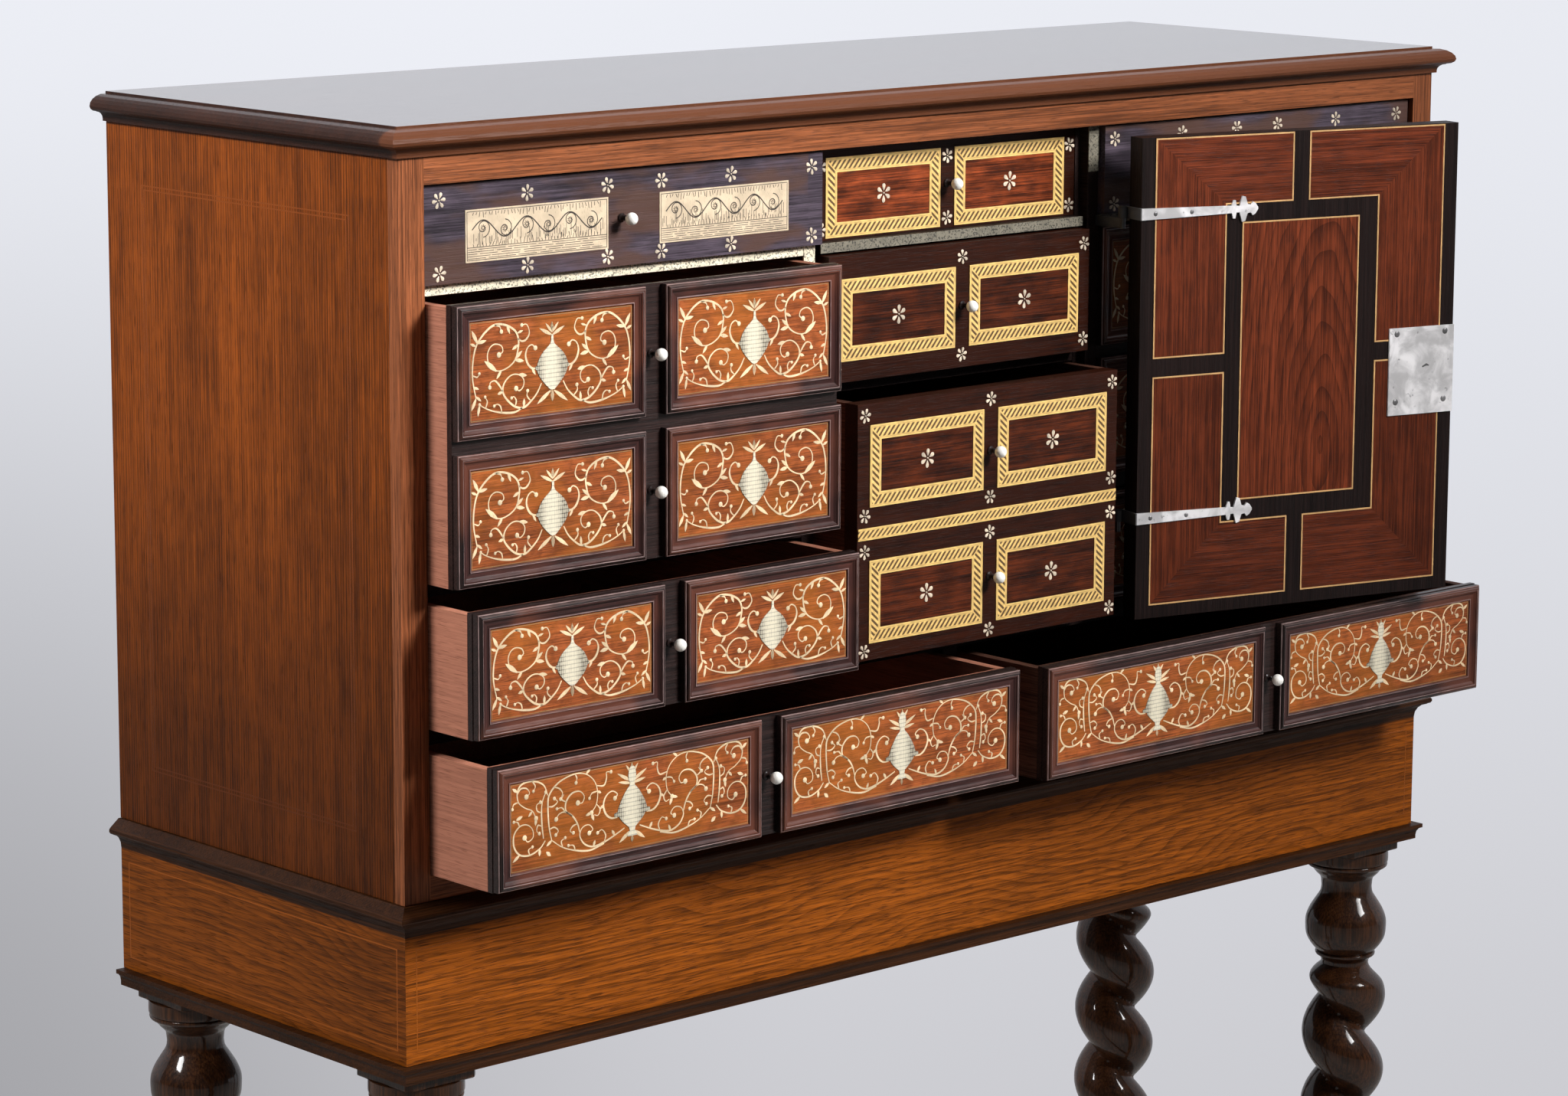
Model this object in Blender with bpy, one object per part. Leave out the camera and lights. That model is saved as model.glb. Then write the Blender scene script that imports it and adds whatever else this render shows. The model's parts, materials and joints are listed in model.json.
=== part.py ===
"""Cabinet of drawers on a twist-legged stand, with its door open and drawers part drawn.

Metres, +Z up, the front faces -Y. Every object is one real piece. Pieces are placed in
the cabinet's own frame: X from the carcass's left side, Y back from its front, Z from
the floor. One empty then moves that frame so that the whole stands over the origin.
"""

import math

import bmesh
import bpy
from mathutils import Vector

# Fits between pieces
GAP = 0.0003
DRAWER_CLEARANCE = 0.0010
FRONT_TOP_CLEARANCE = 0.0016
PIN_CLEARANCE = 0.0003
KNOB_DOOR_CLEARANCE = 0.0017

# Carcass
CARCASS_DEPTH = 0.3545
SIDE_THICKNESS = 0.0230
BOTTOM_THICKNESS = 0.0187
BACK_THICKNESS = 0.0100
FRAME_THICKNESS = 0.0114
TOP_RAIL_HEIGHT = 0.0199
SIDE_COLUMN_WIDTH = 0.36835
CENTRE_WIDTH = 0.2939
DIVIDER_THICKNESS = 0.0117
LINING_THICKNESS = 0.0055
BOTTOM_DIVIDER_THICKNESS = 0.0150

# Rows of drawers, from the bottom up, and the boards between them
BOTTOM_ROW_HEIGHT = 0.0919
DUST_BOARD_THICKNESS = 0.0143
LOW_ROW_HEIGHT = 0.0935
LOWER_SHELF_THICKNESS = 0.0116
TALL_ROW_HEIGHT = 0.2035
UPPER_SHELF_THICKNESS = 0.0079
TOP_ROW_HEIGHT = 0.0722
CENTRE_TALL_HEIGHT = 0.1997
CENTRE_SHELF_THICKNESS = 0.0099

# Top board and its moulded edge
TOP_THICKNESS = 0.0221
TOP_OVERHANG = 0.0145
TOP_STEP = 0.0015
TOP_NOSE_DROP = 0.0090
TOP_NOSE_TURN = 0.0044
TOP_COVE_RADIUS = 0.0055
TOP_FILLET_OUT = 0.0030

# Drawers
SIDE_SETBACK = 0.0050
FLAT_FRONT_THICKNESS = 0.0140
TRAY_WALL = 0.0080
TRAY_FLOOR = 0.0060
TRAY_BACK_SPACE = 0.0120
TRAY_LIP_DROP = 0.0020

# Moulded drawer fronts: a plate with raised, framed blocks
PLATE_THICKNESS = 0.0050
BLOCK_MARGIN = 0.0006
BLOCK_WALL = 0.0052
BLOCK_RIDGE = 0.0020
MOULDING_WIDTH = 0.0100
PANEL_SINK = 0.0010
KNOB_BAND = 0.0190
CROSS_BAND = 0.0100

# Knobs
KNOB_REACH = 0.0120
KNOB_RADIUS = 0.0043
KNOB_STEM_RADIUS = 0.0016
KNOB_FLANGE_RADIUS = 0.0030
KNOB_FLANGE_THICKNESS = 0.0010

# Door and its hinges
DOOR_THICKNESS = 0.0176
DOOR_LAP_LEFT = 0.0046
DOOR_LAP_BOTTOM = 0.0048
DOOR_TOP_GAP = 0.0076
HINGE_REACH = 0.0299
PIN_INSET = 0.0015
PIN_RADIUS = 0.0020
PIN_PROUD = 0.0030
PINTLE_ARM_WIDTH = 0.0020
PINTLE_ARM_HEIGHT = 0.0080
STRAP_THICKNESS = 0.0016
STRAP_HEIGHT = 0.0094
STRAP_END_HEIGHT = 0.0060
STRAP_LENGTH = 0.0850
FINIAL_LENGTH = 0.0250
FINIAL_HEIGHT = 0.0210
STRAP_UPPER_DROP = 0.0602
STRAP_LOWER_RISE = 0.0818
LOCK_WIDTH = 0.0640
LOCK_HEIGHT = 0.0720
LOCK_THICKNESS = 0.0015
LOCK_DROP = 0.0090

# Stand
APRON_HEIGHT = 0.1184
APRON_WALL = 0.0220
LIP_HEIGHT = 0.0236
LIP_OUT = 0.0110
LIP_TOP_OUT = 0.0020
LIP_NOSE_HEIGHT = 0.0060
BASE_MOULDING_HEIGHT = 0.0130
BASE_MOULDING_OUT = 0.0072
BASE_MOULDING_TOE = 0.0030

# Legs, from the top down
LEG_INSET = 0.0385
LEG_SIDES = 20
POST_HEIGHT = 0.0950
POST_CLEARANCE = 0.0005
ABACUS_WIDTH = 0.0650
ABACUS_HEIGHT = 0.0090
CAP_HEIGHT = 0.0270
CAP_RADIUS = 0.0354
NECK_RADIUS = 0.0218
BULB_HEIGHT = 0.0639
BULB_RADIUS = 0.0350
COLLAR_HEIGHT = 0.0115
COLLAR_RADIUS = 0.0260
COLLAR_NECK_RADIUS = 0.0204
TWIST_TURNS = 5.25
TWIST_PITCH = 0.0672
TWIST_RADIUS = 0.0360
TWIST_GROOVE = 0.0190
TWIST_START_FRONT = math.radians(158.0)
TWIST_START_BACK = math.radians(315.0)
TWIST_RINGS = 12
ANKLE_HEIGHT = 0.0202
# Turned profiles as (share of the height from the top, share from the neck's radius to the widest).
CAP_PROFILE = (
    (0.0, 1.0), (0.36, 1.0), (0.40, 0.88), (0.44, 0.96), (0.53, 0.93), (0.60, 0.68), (0.76, 0.42),
    (0.90, 0.14), (1.0, 0.05),
)
BULB_PROFILE = (
    (0.10, 0.0), (0.19, 0.08), (0.30, 0.41), (0.42, 0.76), (0.55, 0.99), (0.70, 1.0), (0.80, 0.92),
    (0.90, 0.66), (0.98, 0.34),
)
COLLAR_PROFILE = ((0.04, 0.75), (0.12, 1.0), (0.32, 0.92), (0.48, 0.45), (0.70, 0.10), (1.0, 0.0))
ANKLE_PROFILE = ((0.30, 0.0), (0.45, 0.8), (0.60, 1.0), (0.75, 0.8), (0.90, 0.0), (1.0, 0.0))
BLOCK_HEIGHT = 0.0700
BLOCK_WIDTH = 0.0520
FOOT_HEIGHT = 0.0620
FOOT_RADIUS = 0.0330
FOOT_NECK_RADIUS = 0.0200
FOOT_PAD_RADIUS = 0.0240
STRETCHER_WIDTH = 0.0300
STRETCHER_HEIGHT = 0.0260

# How the photograph shows it: how far each drawer stands out, and the door's opening
PULL_TALL_LEFT = 0.0400
PULL_LOW_LEFT = 0.0610
PULL_BOTTOM_LEFT = 0.0820
PULL_BOTTOM_RIGHT = 0.0949
PULL_CENTRE_SMALL = 0.0180
PULL_CENTRE_TALL = 0.0512
DOOR_OPENING = math.radians(166.0)

# Finish: colour as seen, roughness, metallic
FINISHES = {
    "case_wood": ((0.46, 0.26, 0.12), 0.35, 0.0),
    "frame_wood": ((0.50, 0.27, 0.16), 0.35, 0.0),
    "inner_wood": ((0.40, 0.24, 0.15), 0.60, 0.0),
    "bone_edge": ((0.80, 0.73, 0.56), 0.50, 0.0),
    "ebony": ((0.14, 0.10, 0.11), 0.35, 0.0),
    "rosewood": ((0.36, 0.16, 0.10), 0.30, 0.0),
    "cedar": ((0.59, 0.37, 0.29), 0.65, 0.0),
    "apron_wood": ((0.58, 0.33, 0.13), 0.30, 0.0),
    "leg_wood": ((0.20, 0.12, 0.08), 0.22, 0.0),
    "bone": ((0.96, 0.93, 0.86), 0.30, 0.0),
    "steel": ((0.78, 0.77, 0.76), 0.28, 1.0),
}

# Sizes that follow from those above
CARCASS_WIDTH = 2 * (SIDE_THICKNESS + SIDE_COLUMN_WIDTH + DIVIDER_THICKNESS) + CENTRE_WIDTH
NEST_FRONT = FRAME_THICKNESS + GAP
NEST_BACK = CARCASS_DEPTH - BACK_THICKNESS - GAP
LEFT_COLUMN = SIDE_THICKNESS
LEFT_DIVIDER = LEFT_COLUMN + SIDE_COLUMN_WIDTH
CENTRE_COLUMN = LEFT_DIVIDER + DIVIDER_THICKNESS
RIGHT_DIVIDER = CENTRE_COLUMN + CENTRE_WIDTH
RIGHT_COLUMN = RIGHT_DIVIDER + DIVIDER_THICKNESS
RIGHT_SIDE = CARCASS_WIDTH - SIDE_THICKNESS

TWIST_HEIGHT = TWIST_TURNS * TWIST_PITCH
LEG_TOP = (
    FOOT_HEIGHT + BLOCK_HEIGHT + ANKLE_HEIGHT + TWIST_HEIGHT
    + COLLAR_HEIGHT + BULB_HEIGHT + CAP_HEIGHT + ABACUS_HEIGHT
)
BASE_MOULDING_BOTTOM = LEG_TOP + GAP
APRON_BOTTOM = BASE_MOULDING_BOTTOM + BASE_MOULDING_HEIGHT + GAP
CARCASS_BOTTOM = APRON_BOTTOM + APRON_HEIGHT + GAP

BOTTOM_ROW = CARCASS_BOTTOM + BOTTOM_THICKNESS
DUST_BOARD = BOTTOM_ROW + BOTTOM_ROW_HEIGHT
LOW_ROW = DUST_BOARD + DUST_BOARD_THICKNESS
LOWER_SHELF = LOW_ROW + LOW_ROW_HEIGHT
TALL_ROW = LOWER_SHELF + LOWER_SHELF_THICKNESS
UPPER_SHELF = TALL_ROW + TALL_ROW_HEIGHT
TOP_ROW = UPPER_SHELF + UPPER_SHELF_THICKNESS
OPENING_TOP = TOP_ROW + TOP_ROW_HEIGHT
CARCASS_TOP = OPENING_TOP + TOP_RAIL_HEIGHT
CENTRE_SHELF = LOW_ROW + CENTRE_TALL_HEIGHT
CENTRE_SMALL_ROW = CENTRE_SHELF + CENTRE_SHELF_THICKNESS

BLOCK_RISE = BLOCK_WALL + BLOCK_RIDGE
KNOB_TIP = KNOB_REACH + KNOB_RADIUS

PIN_X = RIGHT_COLUMN - PIN_INSET
PIN_Y = NEST_FRONT - HINGE_REACH
DOOR_EDGE = PIN_RADIUS + PIN_CLEARANCE + STRAP_THICKNESS + GAP
DOOR_WIDTH = PIN_X - DOOR_EDGE - CENTRE_COLUMN + DOOR_LAP_LEFT
DOOR_BOTTOM = LOW_ROW - DOOR_LAP_BOTTOM
DOOR_TOP = OPENING_TOP - DOOR_TOP_GAP
DOOR_INNER = PIN_PROUD + DOOR_THICKNESS
CENTRE_SETBACK = PIN_Y + DOOR_INNER + KNOB_TIP + KNOB_DOOR_CLEARANCE
TRAY_END = NEST_BACK - TRAY_BACK_SPACE


def front_most():
    """Lowest Y of the whole as photographed, from the open door or a drawn drawer's knob."""
    reach = DOOR_EDGE + DOOR_WIDTH
    depth = DOOR_INNER + GAP + LOCK_THICKNESS
    door = PIN_Y - reach * math.sin(DOOR_OPENING) + depth * math.cos(DOOR_OPENING)
    moulded = SIDE_SETBACK + BLOCK_RISE - KNOB_TIP - GAP
    pulls = (PULL_TALL_LEFT, PULL_LOW_LEFT, PULL_BOTTOM_LEFT, PULL_BOTTOM_RIGHT)
    knob = moulded - max(pulls)
    centre = CENTRE_SETBACK - KNOB_TIP - GAP - max(PULL_CENTRE_SMALL, PULL_CENTRE_TALL)
    return min(door, knob, centre)


def linear(value):
    """One channel of a seen colour as light."""
    return value / 12.92 if value <= 0.04045 else ((value + 0.055) / 1.055) ** 2.4


def material(name, finish):
    colour, roughness, metallic = FINISHES[finish]
    made = bpy.data.materials.new(f"{name}_{finish}")
    made.use_nodes = True
    shader = made.node_tree.nodes["Principled BSDF"]
    shader.inputs["Base Color"].default_value = (*map(linear, colour), 1.0)
    shader.inputs["Roughness"].default_value = roughness
    shader.inputs["Metallic"].default_value = metallic
    return made


def empty(name, location, parent=None, turn=0.0):
    made = bpy.data.objects.new(name, None)
    made.empty_display_size = 0.05
    made.location = location
    made.rotation_euler = (0.0, 0.0, turn)
    made.parent = parent
    bpy.context.scene.collection.objects.link(made)
    return made


def piece(name, bm, finish, parent, location=(0.0, 0.0, 0.0)):
    """One named object from a bmesh, placed under its parent."""
    bmesh.ops.recalc_face_normals(bm, faces=bm.faces)
    mesh = bpy.data.meshes.new(name)
    bm.to_mesh(mesh)
    bm.free()
    mesh.materials.append(material(name, finish))
    made = bpy.data.objects.new(name, mesh)
    made.location = location
    made.parent = parent
    bpy.context.scene.collection.objects.link(made)
    return made


def bridge(bm, first, second):
    """Faces between two loops of as many vertices."""
    count = len(first)
    for i in range(count):
        j = (i + 1) % count
        bm.faces.new((first[i], first[j], second[j], second[i]))


def loft(loops, closed=False):
    """Solid through loops of points, capped at both ends unless it closes on itself."""
    bm = bmesh.new()
    rows = [[bm.verts.new(point) for point in loop] for loop in loops]
    for first, second in zip(rows, rows[1:]):
        bridge(bm, first, second)
    if closed:
        bridge(bm, rows[-1], rows[0])
    else:
        bm.faces.new(rows[0])
        bm.faces.new(rows[-1])
    return bm


def flat_loop(x0, x1, y0, y1, z):
    return [(x0, y0, z), (x1, y0, z), (x1, y1, z), (x0, y1, z)]


def board(name, low, high, finish, parent):
    """Straight board between two corners, with its origin at its middle."""
    half = (Vector(high) - Vector(low)) / 2
    bm = bmesh.new()
    bmesh.ops.create_cube(bm, size=2.0)
    bmesh.ops.scale(bm, vec=half, verts=bm.verts)
    return piece(name, bm, finish, parent, Vector(low) + half)


def arc(centre, radii, start, stop, steps):
    """Points along an ellipse's arc, in degrees."""
    points = []
    for i in range(steps + 1):
        angle = math.radians(start + (stop - start) * i / steps)
        points.append(
            (centre[0] + radii[0] * math.cos(angle), centre[1] + radii[1] * math.sin(angle))
        )
    return points


def edged_loops(profile, x0, x1, y0, y1):
    """Loops of a moulding that runs round the front and sides and ends flush at the back."""
    return [flat_loop(x0 - out, x1 + out, y0 - out, y1, z) for out, z in profile]


def top_profile(bottom):
    """Edge of the top board as (out, height): fillet, cove, nose and step."""
    top = bottom + TOP_THICKNESS
    nose = top - TOP_STEP - TOP_NOSE_DROP
    under = nose - TOP_NOSE_TURN
    cove = under - TOP_COVE_RADIUS
    cove_out = TOP_FILLET_OUT + TOP_COVE_RADIUS
    points = [(TOP_FILLET_OUT, bottom)]
    points += arc((cove_out, cove), (TOP_COVE_RADIUS, TOP_COVE_RADIUS), 180, 90, 4)
    turn = (TOP_OVERHANG - cove_out, nose - under - GAP)
    points += arc((cove_out, nose), turn, -90, 0, 3)
    points += arc((0.0, nose), (TOP_OVERHANG, TOP_NOSE_DROP), 0, 90, 5)[1:]
    points.append((0.0, top))
    return points


def lip_profile(bottom):
    """Outside of the apron with the moulded lip that the carcass stands on."""
    top = bottom + APRON_HEIGHT
    foot = top - LIP_HEIGHT
    nose = top - LIP_NOSE_HEIGHT
    turn = LIP_NOSE_HEIGHT / 2
    points = [(0.0, bottom), (0.0, foot)]
    cove = (LIP_OUT - turn, nose - 2 * turn - foot)
    points += arc((cove[0], foot), cove, 180, 90, 4)[1:]
    points += arc((LIP_OUT - turn, nose - turn + GAP), (turn, turn), -90, 60, 4)
    points.append((LIP_TOP_OUT, top))
    return points


def base_profile(bottom):
    """Moulding under the apron: toe, hollow and fillet."""
    top = bottom + BASE_MOULDING_HEIGHT
    toe = BASE_MOULDING_HEIGHT / 4
    hollow = BASE_MOULDING_OUT - BASE_MOULDING_TOE
    fillet = top - BASE_MOULDING_HEIGHT / 4
    points = [(BASE_MOULDING_TOE, bottom)]
    rise = fillet - bottom - toe
    points += arc((BASE_MOULDING_OUT, bottom + toe), (hollow, rise), 180, 90, 3)
    points.append((BASE_MOULDING_OUT, top))
    return points


def moulded_band(name, profile, wall, finish, parent):
    """Four-sided band with a moulded outside, its ends flush at the back."""
    loops = edged_loops(profile, 0.0, CARCASS_WIDTH, 0.0, CARCASS_DEPTH)
    inner = (wall, CARCASS_WIDTH - wall, wall, CARCASS_DEPTH - wall)
    loops.append(flat_loop(*inner, profile[-1][1]))
    loops.append(flat_loop(*inner, profile[0][1]))
    return piece(name, loft(loops, closed=True), finish, parent)


def make_carcass(root):
    """Boards of the cabinet, its front frame and the nest of dividers and shelves."""
    inner = SIDE_THICKNESS + GAP
    far = RIGHT_SIDE - GAP
    for name, left in (("side_left", 0.0), ("side_right", RIGHT_SIDE)):
        low = (left, NEST_FRONT, CARCASS_BOTTOM)
        high = (left + SIDE_THICKNESS, CARCASS_DEPTH, CARCASS_TOP)
        board(name, low, high, "case_wood", root)
    floor = CARCASS_BOTTOM + BOTTOM_THICKNESS
    low = (inner, NEST_FRONT, CARCASS_BOTTOM)
    board("bottom_board", low, (far, NEST_BACK, floor), "inner_wood", root)
    low = (inner, NEST_BACK + GAP, CARCASS_BOTTOM)
    board("back_board", low, (far, CARCASS_DEPTH, CARCASS_TOP), "inner_wood", root)
    profile = top_profile(CARCASS_TOP + GAP)
    loops = edged_loops(profile, 0.0, CARCASS_WIDTH, 0.0, CARCASS_DEPTH)
    piece("top_board", loft(loops), "case_wood", root)

    outer = (0.0, CARCASS_WIDTH, CARCASS_BOTTOM, CARCASS_TOP)
    hole = (SIDE_THICKNESS, RIGHT_SIDE, BOTTOM_ROW, OPENING_TOP)
    loops = []
    for (x0, x1, z0, z1), y in (
        (outer, 0.0), (outer, FRAME_THICKNESS), (hole, FRAME_THICKNESS), (hole, 0.0)
    ):
        loops.append([(x0, y, z0), (x1, y, z0), (x1, y, z1), (x0, y, z1)])
    piece("face_frame", loft(loops, closed=True), "frame_wood", root)

    low = (inner, NEST_FRONT, DUST_BOARD)
    high = (far, NEST_BACK - GAP, LOW_ROW)
    board("dust_board", low, high, "ebony", root)
    middle = CARCASS_WIDTH / 2
    half = BOTTOM_DIVIDER_THICKNESS / 2
    low = (middle - half, NEST_FRONT, BOTTOM_ROW + GAP)
    high = (middle + half, NEST_BACK - GAP, DUST_BOARD - GAP)
    board("bottom_divider", low, high, "ebony", root)

    divider("divider_left", LEFT_DIVIDER, CENTRE_COLUMN, LINING_THICKNESS, root)
    divider("divider_right", RIGHT_COLUMN, RIGHT_DIVIDER, -LINING_THICKNESS, root)
    left_span = (LEFT_COLUMN + GAP, LEFT_DIVIDER - GAP)
    right_span = (RIGHT_COLUMN + GAP, RIGHT_SIDE - GAP)
    lining = LINING_THICKNESS + GAP
    centre_span = (CENTRE_COLUMN + lining, RIGHT_DIVIDER - lining)
    for name, span, front, bottom, top, finish in (
        ("shelf_left_upper", left_span, NEST_FRONT, UPPER_SHELF, TOP_ROW, "bone_edge"),
        ("shelf_left_lower", left_span, NEST_FRONT, LOWER_SHELF, TALL_ROW, "ebony"),
        ("shelf_right_upper", right_span, NEST_FRONT, UPPER_SHELF, TOP_ROW, "bone_edge"),
        ("shelf_right_lower", right_span, NEST_FRONT, LOWER_SHELF, TALL_ROW, "ebony"),
        ("shelf_centre_upper", centre_span, NEST_FRONT, UPPER_SHELF, TOP_ROW, "bone_edge"),
        ("shelf_centre_lower", centre_span, CENTRE_SETBACK, CENTRE_SHELF, CENTRE_SMALL_ROW,
         "ebony"),
    ):
        low = (span[0], front, bottom)
        board(name, low, (span[1], NEST_BACK - GAP, top), finish, root)


def divider(name, outer, inner, lining, root):
    """Upright board with a lining on the centre side, which starts where those fronts stop."""
    back = NEST_BACK - GAP
    plan = [
        (outer, NEST_FRONT), (inner, NEST_FRONT), (inner, CENTRE_SETBACK),
        (inner + lining, CENTRE_SETBACK), (inner + lining, back), (outer, back),
    ]
    loops = [[(x, y, z) for x, y in plan] for z in (LOW_ROW + GAP, CARCASS_TOP)]
    piece(name, loft(loops), "bone_edge", root)


def tray(name, width, height, front, parent, start=0.0, end=0.0, finish="cedar"):
    """Open drawer box from start to end behind the front's plane, its front wall as given."""
    half = width / 2
    low = height - TRAY_LIP_DROP
    outer = (-half, half, start, end)
    inner = (-half + TRAY_WALL, half - TRAY_WALL, start + front, end - TRAY_WALL)
    loops = [
        flat_loop(*outer, 0.0), flat_loop(*outer, low),
        flat_loop(*inner, low), flat_loop(*inner, TRAY_FLOOR),
    ]
    piece(name, loft(loops), finish, parent)


def block_profile():
    """Moulding of a raised block as (inset from its edge, rise from the band)."""
    step = MOULDING_WIDTH / 8
    ridge = BLOCK_RISE
    return [
        (0.0, BLOCK_WALL), (step, BLOCK_WALL + BLOCK_RIDGE / 3), (2.4 * step, ridge),
        (4 * step, ridge - BLOCK_RIDGE / 4), (5 * step, BLOCK_WALL),
        (6.5 * step, BLOCK_WALL - PANEL_SINK / 2), (8 * step, BLOCK_WALL - PANEL_SINK),
    ]


def spans(length, count, band):
    """Edges of equal blocks along a front, with a margin at each end and bands between."""
    size = (length - 2 * BLOCK_MARGIN - (count - 1) * band) / count
    edges = [-length / 2]
    for i in range(count):
        start = -length / 2 + BLOCK_MARGIN + i * (size + band)
        edges += [start, start + size]
    return edges + [length / 2]


def moulded_front(name, width, height, rows, parent):
    """Plate with two blocks across, in as many rows, each a moulding round a flat panel."""
    xs = spans(width, 2, KNOB_BAND)
    zs = [z + height / 2 for z in spans(height, rows, CROSS_BAND)]
    band = BLOCK_RISE
    bm = bmesh.new()
    grid = [[bm.verts.new((x, band, z)) for z in zs] for x in xs]
    for i in range(len(xs) - 1):
        for j in range(len(zs) - 1):
            cell = [grid[i][j], grid[i + 1][j], grid[i + 1][j + 1], grid[i][j + 1]]
            if i % 2 == 0 or j % 2 == 0:
                bm.faces.new(cell)
                continue
            loop = cell
            for inset, rise in block_profile():
                x0, x1, z0, z1 = xs[i] + inset, xs[i + 1] - inset, zs[j] + inset, zs[j + 1] - inset
                y = band - rise
                corners = ((x0, y, z0), (x1, y, z0), (x1, y, z1), (x0, y, z1))
                inner = [bm.verts.new(corner) for corner in corners]
                bridge(bm, loop, inner)
                loop = inner
            bm.faces.new(loop)
    back = band + PLATE_THICKNESS
    ends = ((xs[0], zs[0]), (xs[-1], zs[0]), (xs[-1], zs[-1]), (xs[0], zs[-1]))
    rear = [bm.verts.new((x, back, z)) for x, z in ends]
    bm.faces.new(rear)
    bm.faces.new([column[0] for column in grid] + [rear[1], rear[0]])
    bm.faces.new([column[-1] for column in grid] + [rear[2], rear[3]])
    bm.faces.new(grid[0] + [rear[3], rear[0]])
    bm.faces.new(grid[-1] + [rear[2], rear[1]])
    piece(name, bm, "ebony", parent)


def turned_loop(radius, y, sides):
    """Circle about the Y axis, for a knob."""
    turns = [2 * math.pi * i / sides for i in range(sides)]
    return [(radius * math.cos(a), y, radius * math.sin(a)) for a in turns]


def knob(name, parent, location):
    """Turned ball on a stem, with its seat at the origin and pointing to -Y."""
    sides = 10
    neck = math.asin(KNOB_STEM_RADIUS / KNOB_RADIUS)
    profile = [(KNOB_FLANGE_RADIUS, GAP), (KNOB_FLANGE_RADIUS, KNOB_FLANGE_THICKNESS)]
    profile.append((KNOB_STEM_RADIUS, KNOB_FLANGE_THICKNESS))
    steps = 6
    for i in range(steps):
        angle = neck + (math.pi - neck) * i / steps
        profile.append((KNOB_RADIUS * math.sin(angle), KNOB_REACH - KNOB_RADIUS * math.cos(angle)))
    tip = (KNOB_STEM_RADIUS / 2, KNOB_TIP)
    loops = [turned_loop(radius, -reach, sides) for radius, reach in profile + [tip]]
    piece(name, loft(loops), "bone", parent, location)


def make_drawer(name, column, row, setback, pull, kind, root):
    """One drawer under an empty on its front's plane: its box, moulded front and knobs."""
    left, right = column
    bottom, top = row
    width = right - left - 2 * DRAWER_CLEARANCE
    height = top - bottom - FRONT_TOP_CLEARANCE - GAP
    seat = ((left + right) / 2, setback - pull, bottom + GAP)
    slide = empty(f"slide_{name}", seat, root)
    end = TRAY_END - setback
    if kind == "flat":
        finish = "rosewood" if setback == CENTRE_SETBACK else "ebony"
        tray(f"drawer_{name}", width, height + TRAY_LIP_DROP, FLAT_FRONT_THICKNESS, slide,
             end=end, finish=finish)
        return slide, height, 0.0
    rows = 2 if kind == "tall" else 1
    moulded_front(f"front_{name}", width, height, rows, slide)
    start = BLOCK_RISE + PLATE_THICKNESS + GAP
    tray(f"drawer_{name}", width, height, TRAY_WALL, slide, start, end)
    return slide, height, BLOCK_RISE


def make_drawers(root):
    left = (LEFT_COLUMN, LEFT_DIVIDER)
    right = (RIGHT_COLUMN, RIGHT_SIDE)
    centre = (CENTRE_COLUMN + LINING_THICKNESS, RIGHT_DIVIDER - LINING_THICKNESS)
    middle = CARCASS_WIDTH / 2
    half = BOTTOM_DIVIDER_THICKNESS / 2
    low_left = (LEFT_COLUMN, middle - half)
    low_right = (middle + half, RIGHT_SIDE)
    top_row = (TOP_ROW, OPENING_TOP)
    tall_row = (TALL_ROW, UPPER_SHELF)
    low_row = (LOW_ROW, LOWER_SHELF)
    bottom_row = (BOTTOM_ROW, DUST_BOARD)
    small_row = (CENTRE_SMALL_ROW, UPPER_SHELF)
    centre_tall = (LOW_ROW, CENTRE_SHELF)
    side, inset = SIDE_SETBACK, CENTRE_SETBACK
    for name, column, row, setback, pull, kind, knobs in (
        ("top_left", left, top_row, side, 0.0, "flat", 1),
        ("top_centre", centre, top_row, inset, 0.0, "flat", 1),
        ("top_right", right, top_row, side, 0.0, "flat", 1),
        ("tall_left", left, tall_row, side, PULL_TALL_LEFT, "tall", 2),
        ("low_left", left, low_row, side, PULL_LOW_LEFT, "single", 1),
        ("centre_small", centre, small_row, inset, PULL_CENTRE_SMALL, "flat", 1),
        ("centre_tall", centre, centre_tall, inset, PULL_CENTRE_TALL, "flat", 2),
        ("tall_right", right, tall_row, side, 0.0, "tall", 2),
        ("low_right", right, low_row, side, 0.0, "single", 1),
        ("bottom_left", low_left, bottom_row, side, PULL_BOTTOM_LEFT, "single", 1),
        ("bottom_right", low_right, bottom_row, side, PULL_BOTTOM_RIGHT, "single", 1),
    ):
        slide, height, seat = make_drawer(name, column, row, setback, pull, kind, root)
        for i in range(knobs):
            at = (0.0, seat, height * (2 * i + 1) / (2 * knobs))
            suffix = f"_{i + 1}" if knobs > 1 else ""
            knob(f"knob_{name}{suffix}", slide, at)


def strap_path():
    """Strap hinge seen from above as points (x, y, half height), from its rolled eye inwards."""
    radius = PIN_RADIUS + PIN_CLEARANCE + STRAP_THICKNESS / 2
    inner = DOOR_INNER + GAP + STRAP_THICKNESS / 2
    tall = STRAP_HEIGHT / 2
    path = [(x, y, tall) for x, y in arc((0.0, 0.0), (radius, radius), 470, 180, 14)]
    path.append((-radius, inner, tall))
    end = STRAP_END_HEIGHT / 2
    finial = FINIAL_HEIGHT / 2
    start = -radius - STRAP_LENGTH
    path.append((start, inner, end))
    steps = (
        (0.06, 0.70), (0.14, 0.70), (0.18, 0.25), (0.30, 0.25), (0.40, 1.00),
        (0.52, 0.92), (0.60, 0.35), (0.72, 0.30), (0.80, 0.52), (0.90, 0.40), (1.00, 0.08),
    )
    for along, share in steps:
        path.append((start - along * FINIAL_LENGTH, inner, share * finial))
    return path


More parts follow.
